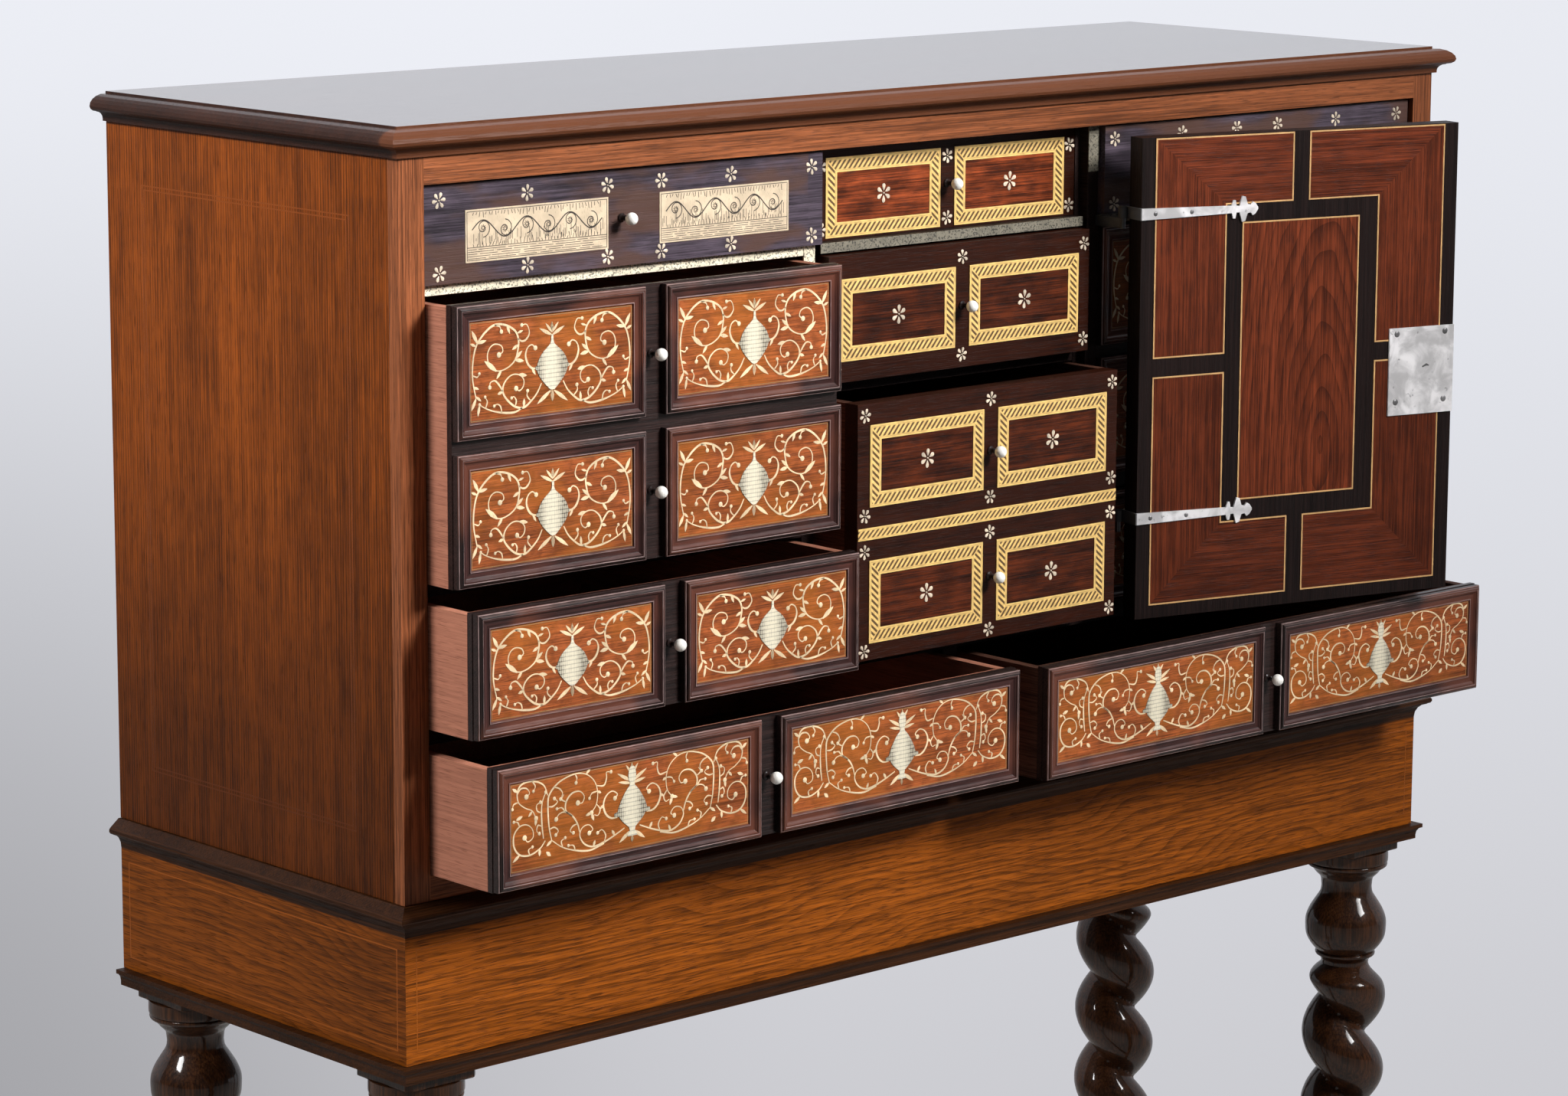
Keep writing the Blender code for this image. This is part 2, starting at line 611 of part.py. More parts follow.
def make_strap(name, z, hinge):
    """Strap of even thickness that rolls round the pin and turns over the door's edge."""
    path = strap_path()
    half = STRAP_THICKNESS / 2
    loops = []
    for i, (x, y, tall) in enumerate(path):
        before = Vector(path[max(i - 1, 0)][:2])
        after = Vector(path[min(i + 1, len(path) - 1)][:2])
        here = Vector((x, y))
        into = (here - before).normalized() if i else (after - here).normalized()
        out = (after - here).normalized() if i < len(path) - 1 else into
        along = (into + out).normalized()
        side = Vector((-along.y, along.x)) * half / max(along.dot(out), 0.5)
        one, two = here + side, here - side
        loops.append([
            (one.x, one.y, -tall), (two.x, two.y, -tall), (two.x, two.y, tall), (one.x, one.y, tall)
        ])
    piece(name, loft(loops), "steel", hinge, (0.0, 0.0, z))


def make_pintle(name, z, root):
    """Fixed half of a hinge: an arm on the divider's front edge that carries the pin."""
    sides = 12
    top = STRAP_HEIGHT / 2
    seat = -top - GAP
    foot = seat - PINTLE_ARM_HEIGHT
    turns = [2 * math.pi * i / sides for i in range(sides)]
    circle = [(PIN_RADIUS * math.cos(a), PIN_RADIUS * math.sin(a)) for a in turns]
    half = PINTLE_ARM_WIDTH / 2
    reach = HINGE_REACH - GAP
    bm = bmesh.new()
    levels = [[bm.verts.new((x, y, level)) for x, y in circle] for level in (foot, seat, top)]
    arm = [
        [bm.verts.new((x, y, level)) for x, y in ((half, reach), (-half, reach))]
        for level in (foot, seat)
    ]
    first, last = 2, 4
    bridge(bm, levels[1], levels[2])
    bm.faces.new(levels[2])
    round_turn = [(last + i) % sides for i in range(sides - last + first + 1)]
    for i, j in zip(round_turn, round_turn[1:]):
        bm.faces.new((levels[0][i], levels[0][j], levels[1][j], levels[1][i]))
    under, over = arm
    bm.faces.new([levels[0][i] for i in round_turn] + under)
    bm.faces.new([levels[1][i] for i in (last, last - 1, first)] + over)
    bm.faces.new((levels[0][first], under[0], over[0], levels[1][first]))
    bm.faces.new((under[0], under[1], over[1], over[0]))
    bm.faces.new((under[1], levels[0][last], levels[1][last], over[1]))
    piece(name, bm, "steel", root, (PIN_X, PIN_Y, z))


def make_door(root):
    """Door under an empty on its hinge pins, turned to where the photograph shows it."""
    hinge = empty("door_hinge", (PIN_X, PIN_Y, 0.0), root, DOOR_OPENING)
    free = -DOOR_EDGE - DOOR_WIDTH
    low = (free, PIN_PROUD, DOOR_BOTTOM)
    board("door_panel", low, (-DOOR_EDGE, DOOR_INNER, DOOR_TOP), "rosewood", hinge)
    upper = DOOR_TOP - STRAP_UPPER_DROP
    lower = DOOR_BOTTOM + STRAP_LOWER_RISE
    for level, z in (("upper", upper), ("lower", lower)):
        make_strap(f"strap_hinge_{level}", z, hinge)
        make_pintle(f"pintle_{level}", z, root)
    middle = (DOOR_BOTTOM + DOOR_TOP) / 2 - LOCK_DROP
    seat = DOOR_INNER + GAP
    low = (free, seat, middle - LOCK_HEIGHT / 2)
    high = (free + LOCK_WIDTH, seat + LOCK_THICKNESS, middle + LOCK_HEIGHT / 2)
    board("lock_plate", low, high, "steel", hinge)


def bulge(top, height, edge, middle, steps):
    """Turned swelling as (height, radius) from the top down."""
    points = []
    for i in range(steps + 1):
        along = i / steps
        points.append((top - along * height, edge + (middle - edge) * math.sin(math.pi * along)))
    return points


def turned(top, height, neck, widest, profile):
    """Turned length of a leg as sections from the top down."""
    return [
        (top - along * height, neck + (widest - neck) * swell, 0.0, 0.0, False)
        for along, swell in profile
    ]


def leg_sections(start):
    """Leg from the top down as (height, half width, groove depth, turn of the ridge, square)."""
    post = LEG_INSET - APRON_WALL - POST_CLEARANCE
    z = LEG_TOP
    sections = [(z + POST_HEIGHT, post, 0.0, 0.0, True), (z, post, 0.0, 0.0, True)]
    sections.append((z, ABACUS_WIDTH / 2, 0.0, 0.0, True))
    z -= ABACUS_HEIGHT
    sections.append((z, ABACUS_WIDTH / 2, 0.0, 0.0, True))
    sections += turned(z, CAP_HEIGHT, NECK_RADIUS, CAP_RADIUS, CAP_PROFILE)
    z -= CAP_HEIGHT
    sections += turned(z, BULB_HEIGHT, NECK_RADIUS, BULB_RADIUS, BULB_PROFILE)
    z -= BULB_HEIGHT
    sections += turned(z, COLLAR_HEIGHT, COLLAR_NECK_RADIUS, COLLAR_RADIUS, COLLAR_PROFILE)
    z -= COLLAR_HEIGHT
    rings = round(TWIST_TURNS * TWIST_RINGS)
    ramp = TWIST_RINGS / 4
    for i in range(1, rings):
        grown = min(1.0, i / ramp, (rings - i) / ramp)
        radius = COLLAR_NECK_RADIUS + (TWIST_RADIUS - COLLAR_NECK_RADIUS) * grown
        turn = start + 2 * math.pi * i / TWIST_RINGS
        level = z - TWIST_PITCH * i / TWIST_RINGS
        sections.append((level, radius, TWIST_GROOVE * grown, turn, False))
    z -= TWIST_HEIGHT
    sections.append((z, COLLAR_NECK_RADIUS, 0.0, 0.0, False))
    sections += turned(z, ANKLE_HEIGHT, COLLAR_NECK_RADIUS, COLLAR_RADIUS, ANKLE_PROFILE)
    z -= ANKLE_HEIGHT
    sections.append((z, BLOCK_WIDTH / 2, 0.0, 0.0, True))
    z -= BLOCK_HEIGHT
    sections.append((z, BLOCK_WIDTH / 2, 0.0, 0.0, True))
    foot = [(z, FOOT_NECK_RADIUS)]
    neck = FOOT_HEIGHT / 6
    foot += bulge(z - neck, FOOT_HEIGHT - neck, FOOT_NECK_RADIUS, FOOT_RADIUS, 6)[:-1]
    foot.append((0.0, FOOT_PAD_RADIUS))
    return sections + [(level, radius, 0.0, 0.0, False) for level, radius in foot]


def make_leg(name, x, y, start, root):
    """One leg as a stack of loops: square for post, abacus and block, else turned or twisted."""
    loops = []
    for z, half, groove, turn, square in leg_sections(start):
        loop = []
        for i in range(LEG_SIDES):
            angle = 2 * math.pi * (i + 0.5) / LEG_SIDES
            c, s = math.cos(angle), math.sin(angle)
            away = math.remainder(angle - turn, 2 * math.pi) / math.pi
            reach = half / max(abs(c), abs(s)) if square else half - groove * away ** 2
            loop.append((reach * c, reach * s, z))
        loops.append(loop)
    bm = loft(loops)
    bmesh.ops.triangulate(bm, faces=bm.faces)
    piece(name, bm, "leg_wood", root, (x, y, 0.0))


def make_stand(root):
    """Apron with its lip, the moulding below it, four legs and the H-shaped stretcher."""
    moulded_band("stand_apron", lip_profile(APRON_BOTTOM), APRON_WALL, "apron_wood", root)
    profile = base_profile(BASE_MOULDING_BOTTOM)
    moulded_band("stand_moulding", profile, APRON_WALL, "leg_wood", root)
    near, far = LEG_INSET, CARCASS_DEPTH - LEG_INSET
    left, right = LEG_INSET, CARCASS_WIDTH - LEG_INSET
    for name, x, y, start in (
        ("leg_front_left", left, near, TWIST_START_FRONT),
        ("leg_front_right", right, near, TWIST_START_FRONT),
        ("leg_back_left", left, far, TWIST_START_BACK),
        ("leg_back_right", right, far, TWIST_START_BACK),
    ):
        make_leg(name, x, y, start, root)
    half = STRETCHER_WIDTH / 2
    start = near + BLOCK_WIDTH / 2 + GAP
    stop = far - BLOCK_WIDTH / 2 - GAP
    middle = (near + far) / 2
    plan = [
        (left - half, start), (left + half, start), (left + half, middle - half),
        (right - half, middle - half), (right - half, start), (right + half, start),
        (right + half, stop), (right - half, stop), (right - half, middle + half),
        (left + half, middle + half), (left + half, stop), (left - half, stop),
    ]
    level = FOOT_HEIGHT + BLOCK_HEIGHT / 2
    heights = (level - STRETCHER_HEIGHT / 2, level + STRETCHER_HEIGHT / 2)
    loops = [[(x, y, z) for x, y in plan] for z in heights]
    piece("stretcher", loft(loops), "leg_wood", root)


def main():
    for old in list(bpy.data.objects):
        bpy.data.objects.remove(old, do_unlink=True)
    middle_y = (front_most() + CARCASS_DEPTH) / 2
    root = empty("cabinet_frame", (-CARCASS_WIDTH / 2, -middle_y, 0.0))
    make_carcass(root)
    make_drawers(root)
    make_door(root)
    make_stand(root)


main()
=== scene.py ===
import json
import math
import random

import bpy
from bpy.props import FloatProperty, FloatVectorProperty, PointerProperty
from bpy.types import Operator, Panel, PropertyGroup
from mathutils import Matrix, Vector


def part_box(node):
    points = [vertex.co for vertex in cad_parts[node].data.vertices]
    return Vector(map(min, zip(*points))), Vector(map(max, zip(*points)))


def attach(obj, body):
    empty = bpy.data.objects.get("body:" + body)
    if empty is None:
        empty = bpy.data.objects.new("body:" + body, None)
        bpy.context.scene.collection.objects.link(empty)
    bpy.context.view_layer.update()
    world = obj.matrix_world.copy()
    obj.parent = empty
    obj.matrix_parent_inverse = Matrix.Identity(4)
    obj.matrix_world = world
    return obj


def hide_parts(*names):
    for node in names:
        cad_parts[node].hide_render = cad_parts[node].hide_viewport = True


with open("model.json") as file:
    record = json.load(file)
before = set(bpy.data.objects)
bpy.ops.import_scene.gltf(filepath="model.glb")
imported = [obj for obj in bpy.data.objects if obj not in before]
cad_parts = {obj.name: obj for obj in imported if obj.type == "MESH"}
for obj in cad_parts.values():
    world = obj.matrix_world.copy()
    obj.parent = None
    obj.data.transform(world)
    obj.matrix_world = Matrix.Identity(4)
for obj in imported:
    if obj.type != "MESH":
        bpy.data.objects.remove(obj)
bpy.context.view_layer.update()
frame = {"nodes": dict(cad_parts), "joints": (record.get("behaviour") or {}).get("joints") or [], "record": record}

bl_info = {
    "name": "Drawer cabinet dressing",
    "version": (1, 0, 0),
    "blender": (4, 5, 0),
    "location": "3D View > Sidebar > Cabinet",
    "description": "Veneers, inlay, turned work and stage for a drawer cabinet on a stand",
    "category": "Object",
}

# Drawers with a moulded front and their rows of panels, and drawers with a flat one.
MOULDED = {"tall_left": 2, "low_left": 1, "tall_right": 2, "low_right": 1,
           "bottom_left": 1, "bottom_right": 1}
FLAT = ("top_left", "top_centre", "top_right", "centre_small", "centre_tall")
PLAQUED = ("top_left", "top_right")
FLAT_FRONT_DEPTH = 0.0142

# Moulded fronts, as the solids have them, and their mouldings, which lap over the flat panels.
BLOCK_MARGIN, KNOB_BAND, CROSS_BAND, PANEL_DEPTH = 0.0006, 0.0190, 0.0100, 0.0030
MOULDING_WIDTH = 0.0122
# Field of a scroll design: its foot over the panel's, its height and length against the panel's.
DESIGN_FOOT, DESIGN_RISE, DESIGN_REACH = 0.0017, 1.066, 1.03

# Door, as the solids have it: hinge edge and both faces from the pin, width and opening.
DOOR_EDGE, DOOR_OUTER, DOOR_INNER = 0.0042, 0.0030, 0.0206
DOOR_WIDTH, DOOR_TURN = 0.3066, math.radians(166.0)

# Inner edges of the front's stiles and front edge of the flat top, as the solids have them.
STILE_EDGE, TOP_EDGE = 0.5268, 0.116
# Lift and depth of a line let into a plain veneer, and rise of a line or a frame over its veneer.
LINE_LIFT, LINE_DEPTH, LINE_RISE, FRAME_RISE = 0.00006, 0.0001, 0.0001, 0.0004

# Half a scroll panel, from its middle (0) to its end (1) and from its foot (0) to its top (1):
# each stem as its points, its width and its bud's radius against the set sizes, and each leaf as its
# base, its tip and its width.
SCROLL_STEMS = (
    (((.90, .20), (.935, .36), (.94, .49), (.92, .62), (.88, .715), (.79, .81), (.68, .87),
      (.556, .86), (.445, .80), (.40, .715), (.405, .62), (.44, .52), (.53, .455), (.64, .435),
      (.735, .49), (.765, .58), (.74, .655), (.68, .69), (.605, .67), (.585, .615), (.63, .585)),
     1.0, 1.0),
    (((.13, .27), (.18, .185), (.254, .114), (.341, .062), (.442, .08), (.536, .153),
      (.587, .235), (.565, .32), (.486, .38), (.399, .378), (.341, .328), (.345, .263),
      (.39, .225), (.43, .25)), 1.0, 0.95),
    (((.36, .06), (.45, .028), (.572, .035), (.688, .06), (.79, .098), (.86, .14)), 1.0, 0.6),
    (((.587, .235), (.62, .29), (.674, .345), (.73, .335), (.74, .29)), 0.9, 0.8),
    (((.405, .72), (.36, .69), (.31, .70), (.27, .76), (.30, .84), (.36, .84)), 0.9, 0.7),
    (((.18, .415), (.243, .425), (.291, .47), (.316, .545), (.296, .615), (.243, .645), (.20, .61)),
     1.1, 0.9),
    (((.68, .87), (.62, .85), (.60, .80)), 0.8, 0.8),
    (((.254, .114), (.30, .165), (.295, .215)), 0.7, 0.7),
    (((.442, .08), (.43, .135), (.455, .175), (.485, .165)), 0.7, 0.6),
    (((.60, .04), (.615, .10), (.655, .125), (.69, .11)), 0.7, 0.6),
    (((.79, .098), (.77, .16), (.795, .205)), 0.7, 0.6),
    (((.938, .42), (.885, .40), (.86, .43)), 0.7, 0.6),
)
SCROLL_LEAVES = (
    ((.88, .715), (.945, .84), 1.0), ((.88, .715), (.775, .735), 0.9),
    ((.90, .69), (.965, .72), 0.7), ((.93, .31), (.865, .285), 0.7),
    ((.90, .20), (.955, .09), 0.9), ((.90, .22), (.84, .17), 0.7),
    ((.86, .14), (.88, .03), 0.8),
    ((.66, .435), (.80, .545), 1.3), ((.60, .44), (.66, .36), 0.8),
    ((.44, .52), (.335, .50), 1.0), ((.44, .53), (.355, .60), 0.9),
    ((.40, .66), (.475, .62), 0.8), ((.41, .77), (.345, .79), 0.6),
    ((.40, .378), (.30, .36), 1.0), ((.587, .235), (.65, .215), 0.8),
    ((.341, .062), (.335, .15), 0.8), ((.535, .86), (.50, .77), 0.8),
    ((.0, .715), (.15, .79), 0.9), ((.0, .74), (.078, .835), 0.7), ((.0, .74), (.0, .845), 0.9),
    ((.0, .20), (.0, .085), 1.1), ((.02, .19), (.185, .075), 1.0), ((.243, .425), (.20, .355), 0.7),
)
# Half a long panel, in the same way.
LONG_STEMS = (
    (((.647, .242), (.665, .363), (.673, .485), (.676, .606), (.669, .715), (.626, .80), (.561, .861),
      (.46, .897), (.373, .873), (.308, .788), (.28, .667), (.289, .533), (.329, .448)), 1.0, 0.9),
    (((.481, .455), (.532, .521), (.532, .618), (.486, .696), (.423, .703), (.387, .642), (.402, .577),
      (.438, .582)), 1.0, 1.0),
    (((.423, .266), (.442, .363), (.481, .455), (.539, .514), (.587, .504), (.611, .455)), 1.0, 0.9),
    (((.062, .213), (.142, .157), (.228, .108), (.315, .084), (.387, .133), (.423, .23), (.402, .31),
      (.351, .327), (.319, .271), (.347, .237)), 1.0, 0.9),
    (((.228, .091), (.344, .052), (.46, .084), (.561, .145), (.647, .242)), 1.0, 0.0),
    (((.712, .278), (.723, .412), (.727, .557), (.72, .667), (.694, .764)), 1.0, 0.7),
    (((.676, .727), (.712, .849), (.799, .909), (.879, .897), (.915, .824), (.908, .715),
      (.857, .642), (.799, .594), (.77, .509)), 1.0, 0.9),
    (((.915, .80), (.89, .85), (.845, .845), (.82, .79), (.845, .755)), 0.9, 1.0),
    (((.698, .254), (.741, .181), (.821, .133), (.90, .157), (.944, .254), (.944, .375), (.90, .455),
      (.842, .46), (.799, .40), (.795, .315), (.835, .278), (.861, .327)), 1.0, 1.0),
    (((.12, .344), (.171, .349), (.214, .407), (.233, .504), (.211, .594), (.163, .635), (.12, .594),
      (.139, .553)), 1.2, 0.9),
    (((.286, .727), (.228, .715), (.207, .788), (.207, .849), (.171, .844)), 0.9, 0.7),
    (((.626, .80), (.585, .775), (.56, .72), (.575, .66)), 0.8, 0.7),
    (((.46, .897), (.445, .85), (.452, .80)), 0.8, 0.7),
    (((.46, .084), (.475, .14), (.515, .15)), 0.8, 0.6),
    (((.561, .145), (.57, .21), (.54, .24)), 0.8, 0.6),
    (((.228, .108), (.215, .18), (.245, .245), (.28, .22)), 0.8, 0.7),
    (((.665, .363), (.625, .375), (.595, .33), (.615, .29)), 0.8, 0.7),
    (((.676, .606), (.635, .60), (.60, .64), (.625, .68)), 0.8, 0.7),
    (((.727, .557), (.76, .585), (.765, .645), (.735, .67)), 0.8, 0.7),
    (((.723, .412), (.755, .43), (.765, .375), (.745, .34)), 0.8, 0.7),
    (((.799, .909), (.775, .85), (.79, .80)), 0.8, 0.6),
    (((.28, .667), (.325, .655), (.345, .605)), 0.8, 0.6),
    (((.289, .533), (.26, .47), (.275, .41), (.305, .42)), 0.8, 0.0),
    (((.539, .514), (.565, .565), (.605, .565)), 0.8, 0.6),
    (((.442, .363), (.48, .345), (.50, .30), (.475, .275)), 0.8, 0.7),
    (((.532, .618), (.565, .655), (.55, .705)), 0.8, 0.0),
    (((.90, .455), (.915, .505), (.945, .515)), 0.8, 0.6),
    (((.821, .133), (.83, .19), (.80, .215)), 0.8, 0.6),
    (((.908, .715), (.945, .70), (.955, .65)), 0.8, 0.6),
)
LONG_LEAVES = (
    ((.329, .448), (.31, .36), 0.9), ((.329, .45), (.375, .43), 0.8), ((.915, .82), (.955, .87), 0.8),
    ((.90, .157), (.955, .09), 0.8), ((.741, .181), (.745, .10), 0.8), ((.925, .53), (.875, .56), 0.9),
    ((.69, .13), (.655, .08), 1.0), ((.77, .509), (.775, .43), 0.8), ((.647, .242), (.69, .19), 0.8),
    ((.28, .667), (.25, .64), 0.7), ((.373, .873), (.335, .92), 0.7), ((.233, .504), (.26, .47), 0.7),
    ((.142, .157), (.165, .22), 0.8), ((.315, .084), (.30, .15), 0.7), ((.799, .594), (.83, .54), 0.7),
    ((.0, .70), (.12, .81), 0.9), ((.0, .68), (.112, .715), 0.8), ((.0, .78), (.05, .885), 0.7),
    ((.0, .80), (.0, .90), 0.9), ((.015, .17), (.105, .065), 1.0), ((.0, .12), (.0, .045), 0.9),
)
# Urns of short and of long panels as (height, half width) in the same shares, from the lip down.
URN = (
    (.72, .012), (.66, .014), (.63, .028), (.60, .064), (.57, .102), (.535, .136), (.50, .159),
    (.465, .175), (.44, .182), (.432, .198), (.404, .200), (.396, .182), (.37, .172), (.345, .160),
    (.31, .136), (.275, .104), (.245, .074), (.22, .047), (.20, .022),
)
VASE = (
    (.861, .014), (.824, .026), (.776, .032), (.727, .029), (.684, .017), (.655, .023), (.618, .046),
    (.569, .069), (.509, .092), (.448, .110), (.40, .118), (.387, .145), (.353, .145), (.344, .107),
    (.302, .090), (.254, .058), (.213, .026), (.174, .020), (.14, .038), (.116, .038),
)
# Moulding round a panel as (inset, rise over the panel): its dark outer bead, its brown inner slope.
OUTER_BEAD = (
    (.0000, .00105), (.0006, .0020), (.0010, .0021), (.0012, .0017), (.0014, .0018), (.0016, .0029),
    (.0022, .0035), (.0030, .0037), (.0037, .0034), (.0039, .00285), (.0041, .00275),
)
INNER_SLOPE = (
    (.0041, .00275), (.0042, .0032), (.0049, .0032), (.0050, .0026), (.0054, .0024), (.0060, .0016),
    (.0068, .0011), (.0078, .00095), (.0104, .00095), (.0107, .0015), (.0115, .0015), (.0119, .0009),
    (.0121, .0001),
)
# Step of the grain map between the four sides of a moulding.
MAP_STEP = 0.3
# Outlines of a leaf and of a petal as (place along it, share of its width).
LEAF = ((0.0, 0.25), (0.22, 0.72), (0.45, 1.0), (0.68, 0.82), (0.88, 0.38), (1.0, 0.0))
PETAL = ((0.0, 0.12), (0.25, 0.5), (0.5, 0.88), (0.72, 1.0), (0.9, 0.7), (1.0, 0.0))
# Place of a leaf's crest along it, and the least cosine by which a ribbon's mitre is drawn out.
LEAF_CREST, LEAST_MITRE = 0.45, 0.5
# Flower: its petals and where they start along its radius, their width and the boss's radius against
# its diameter, the boss's sides, and the rise of both.
PETALS, PETAL_START, PETAL_WIDTH, BOSS, BOSS_SIDES, FLOWER_RISE = 6, 0.24, 0.22, 0.06, 8, 0.0005
# Rings of a dome as (share of its radius, share of its rise), from under the face to near its crown.
DOME = ((1.0, -0.3), (1.0, 0.0), (0.86, 0.52), (0.5, 0.88))
# Reach of the eased corners of a square length against its half width.
EASED_CORNER = 1.37


def channel(value):
    """Linear light of one sRGB channel from 0 to 255."""
    value /= 255
    return value / 12.92 if value <= 0.04045 else ((value + 0.055) / 1.055) ** 2.4


def scalar(name, description, default, **limits):
    return FloatProperty(name=name, description=description, default=default, **limits)


def length(name, description, default):
    return scalar(name, description, default, min=0.0, precision=5, unit="LENGTH")


def power(name, description, default):
    return scalar(name, description, default, min=0.0, unit="POWER")


def bearing(name, description, default):
    return scalar(name, description, default, subtype="ANGLE")


def colour(name, description, *default):
    return FloatVectorProperty(name=name, description=description, subtype="COLOR", min=0.0,
                               max=1.0, default=[channel(value) for value in default])


class CabinetSizes(PropertyGroup):
    veneer: length("Veneer", "Rise of a laid veneer over its ground", 0.0004)
    inlay: length("Inlay", "Rise of bone inlay over its veneer", 0.0002)
    stem: length("Scroll stem", "Width of a stem of the scroll inlay", 0.0014)
    bud: length("Scroll bud", "Radius of the bud at a stem's end", 0.0020)
    leaf: length("Scroll leaf", "Greatest width of a leaf of the scroll inlay", 0.0029)
    stud: length("Stud", "Diameter of a flower stud", 0.0122)
    flower: length("Flower", "Diameter of the flower inside a hatched frame", 0.0150)
    rope: length("Hatched band", "Width of the hatched boxwood bands", 0.0115)
    string: length("Stringing", "Width of the boxwood lines of the door", 0.0012)
    side_string: length("Side line", "Width of the lines on the sides and apron", 0.0010)
    side_inset: length("Side inset", "Distance of the lines on the sides from the edges", 0.0440)
    apron_inset: length("Apron inset", "Distance of the lines on the apron from its edges", 0.0095)
    facing: length("Facing", "Thickness of the bone strips on the nest's edges", 0.0010)
    lap: length("Lap", "Width of the top left front over the divider", 0.0146)
    knob: length("Knob", "Radius of a knob's ball", 0.0047)


class CabinetColours(PropertyGroup):
    top: colour("Top", "Polished top and its edge moulding", 46, 25, 17)
    side: colour("Side", "Veneer of the sides", 114, 56, 16)
    frame: colour("Front frame", "Rails and stiles of the front", 134, 77, 46)
    boards: colour("Plain boards", "Unpolished boards of the back and bottom", 104, 74, 48)
    ebony: colour("Ebony", "Mouldings, bands and flat fronts", 34, 22, 20)
    # Ebony of the top row's fronts with a bluish-grey painted reflection in its colour.
    painted_sheen_ebony: colour("Hazed ebony", "Flat fronts of the top row", 68, 59, 68)
    stain: colour("Stain", "Browner patches of the top row's fronts", 84, 60, 50)
    slope: colour("Moulding slope", "Inner slope of the panel mouldings", 56, 30, 27)
    # Pale arris colour of the panel mouldings: rubbed wear and painted highlight.
    worn: colour("Worn arrises", "Rubbed edges of the panel mouldings", 172, 146, 142)
    faded: colour("Faded moulding", "Browner patches of the panel mouldings", 112, 62, 44)
    cedar: colour("Drawer boxes", "Sides and floors of the drawers", 160, 105, 84)
    golden: colour("Golden veneer", "Paler patches of the scroll panels", 176, 104, 30)
    scroll: colour("Scroll ground", "Veneer under the scroll inlay", 146, 77, 40)
    bone: colour("Bone inlay", "Scrolls, buds and leaves", 244, 216, 174)
    urn: colour("Urn", "Engraved urns of the scroll panels", 214, 205, 182)
    plaque: colour("Plaque", "Engraved plaques of the top drawers", 220, 198, 168)
    engraving: colour("Engraving", "Rubbed lines of the engraving", 56, 44, 34)
    boxwood: colour("Boxwood", "Ground of the hatched bands", 238, 198, 120)
    hatch: colour("Hatch", "Strokes of the hatched bands", 72, 42, 16)
    string: colour("Stringing", "Boxwood lines of the door", 208, 162, 106)
    rosewood: colour("Door veneer", "Rosewood panels of the door", 90, 39, 20)
    centre: colour("Centre veneer", "Rosewood of the centre drawers", 92, 40, 18)
    steel: colour("Steel", "Strap hinges and lock plate", 240, 237, 238)
    apron: colour("Apron", "Figured veneer of the stand's apron", 136, 71, 17)
    legs: colour("Turned wood", "Legs, stretcher and stand mouldings", 52, 28, 12)
    petal: colour("Petals", "Flower studs and flowers", 236, 217, 192)
    facing: colour("Bone facing", "Speckled bone on the nest's edges", 240, 228, 200)
    ivory: colour("Knobs", "Balls of the knobs", 254, 251, 244)
    wall: colour("Backdrop", "Upper part of the wall behind the cabinet", 236, 238, 245)
    # Backdrop foot: partly the wall's own lower tone, partly painted shade.
    wall_foot: colour("Backdrop foot", "Lower part of the wall", 203, 203, 208)
    floor: colour("Floor", "Floor under the stand", 224, 222, 219)


class CabinetStage(PropertyGroup):
    key: power("Key light", "Power of the lamp before the drawers", 27.0)
    side: power("Side light", "Power of the lamp at the left", 11.5)
    top: power("Top light", "Power of the lamp above", 4.5)
    sky: scalar("Room light", "Strength of the light from all round", 0.08, min=0.0)
    camera: FloatVectorProperty(name="Camera", description="Place of the camera",
                                default=(-2.5693, -2.7497, 1.6276), subtype="TRANSLATION")
    azimuth: bearing("Azimuth", "Turn of the camera from the cabinet's back", 0.7460)
    dip: bearing("Dip", "How far the camera looks down", 0.1768)
    roll: bearing("Roll", "Turn of the camera about its line of sight", 0.0057)
    lens: scalar("Lens", "Focal length for a 36 mm frame", 109.8, unit="CAMERA")
    wall: length("Wall distance", "Distance of the wall from the camera", 5.0)


def sizes():
    return bpy.context.scene.cabinet_sizes


def colours():
    return bpy.context.scene.cabinet_colours


def toned(value, share):
    """Colour with its light scaled, as the four numbers that a socket takes."""
    return tuple(min(1.0, part * share) for part in value[:3]) + (1.0,)


class Field:
    """Value that varies over a surface: a socket, with arithmetic that adds Math nodes."""

    def __init__(self, finish, socket):
        self.finish, self.socket = finish, socket

    def math(self, operation, *values):
        return self.finish.node("ShaderNodeMath", {"operation": operation}, enumerate(values))

    def __add__(self, other):
        return self.math("ADD", self, other)

    def __sub__(self, other):
        return self.math("SUBTRACT", self, other)

    def __rsub__(self, other):
        return self.math("SUBTRACT", other, self)

    def __mul__(self, other):
        return self.math("MULTIPLY", self, other)

    def __gt__(self, other):
        return self.math("GREATER_THAN", self, other)

    def __abs__(self):
        return self.math("ABSOLUTE", self)

    __radd__, __rmul__ = __add__, __mul__

    def repeat(self):
        """Value that starts again from 0 at each whole number."""
        return self.math("FRACT", self)

    def step(self, low, high):
        """Smooth step from 0 at low to 1 at high."""
        sockets = {0: self, 1: low, 2: high, 3: 0.0, 4: 1.0}
        return self.finish.node("ShaderNodeMapRange", {"interpolation_type": "SMOOTHSTEP"}, sockets)


# Constants of the surface shader by the words used here.
SOCKETS = {"metal": "Metallic", "specular": "Specular IOR Level", "coat": "Coat Weight",
           "coat_rough": "Coat Roughness", "coat_ior": "Coat IOR"}
NOISE_ROUGHNESS, RELIEF_STRENGTH = 0.55, 0.6
# Specular levels of polished and of dull wood, and the share that darkens woods deep in the nest: painted shade on
# the drawer boxes there, and the darker ground of the centre fronts.
POLISHED, DULL, SHADED = 0.12, 0.08, 0.2


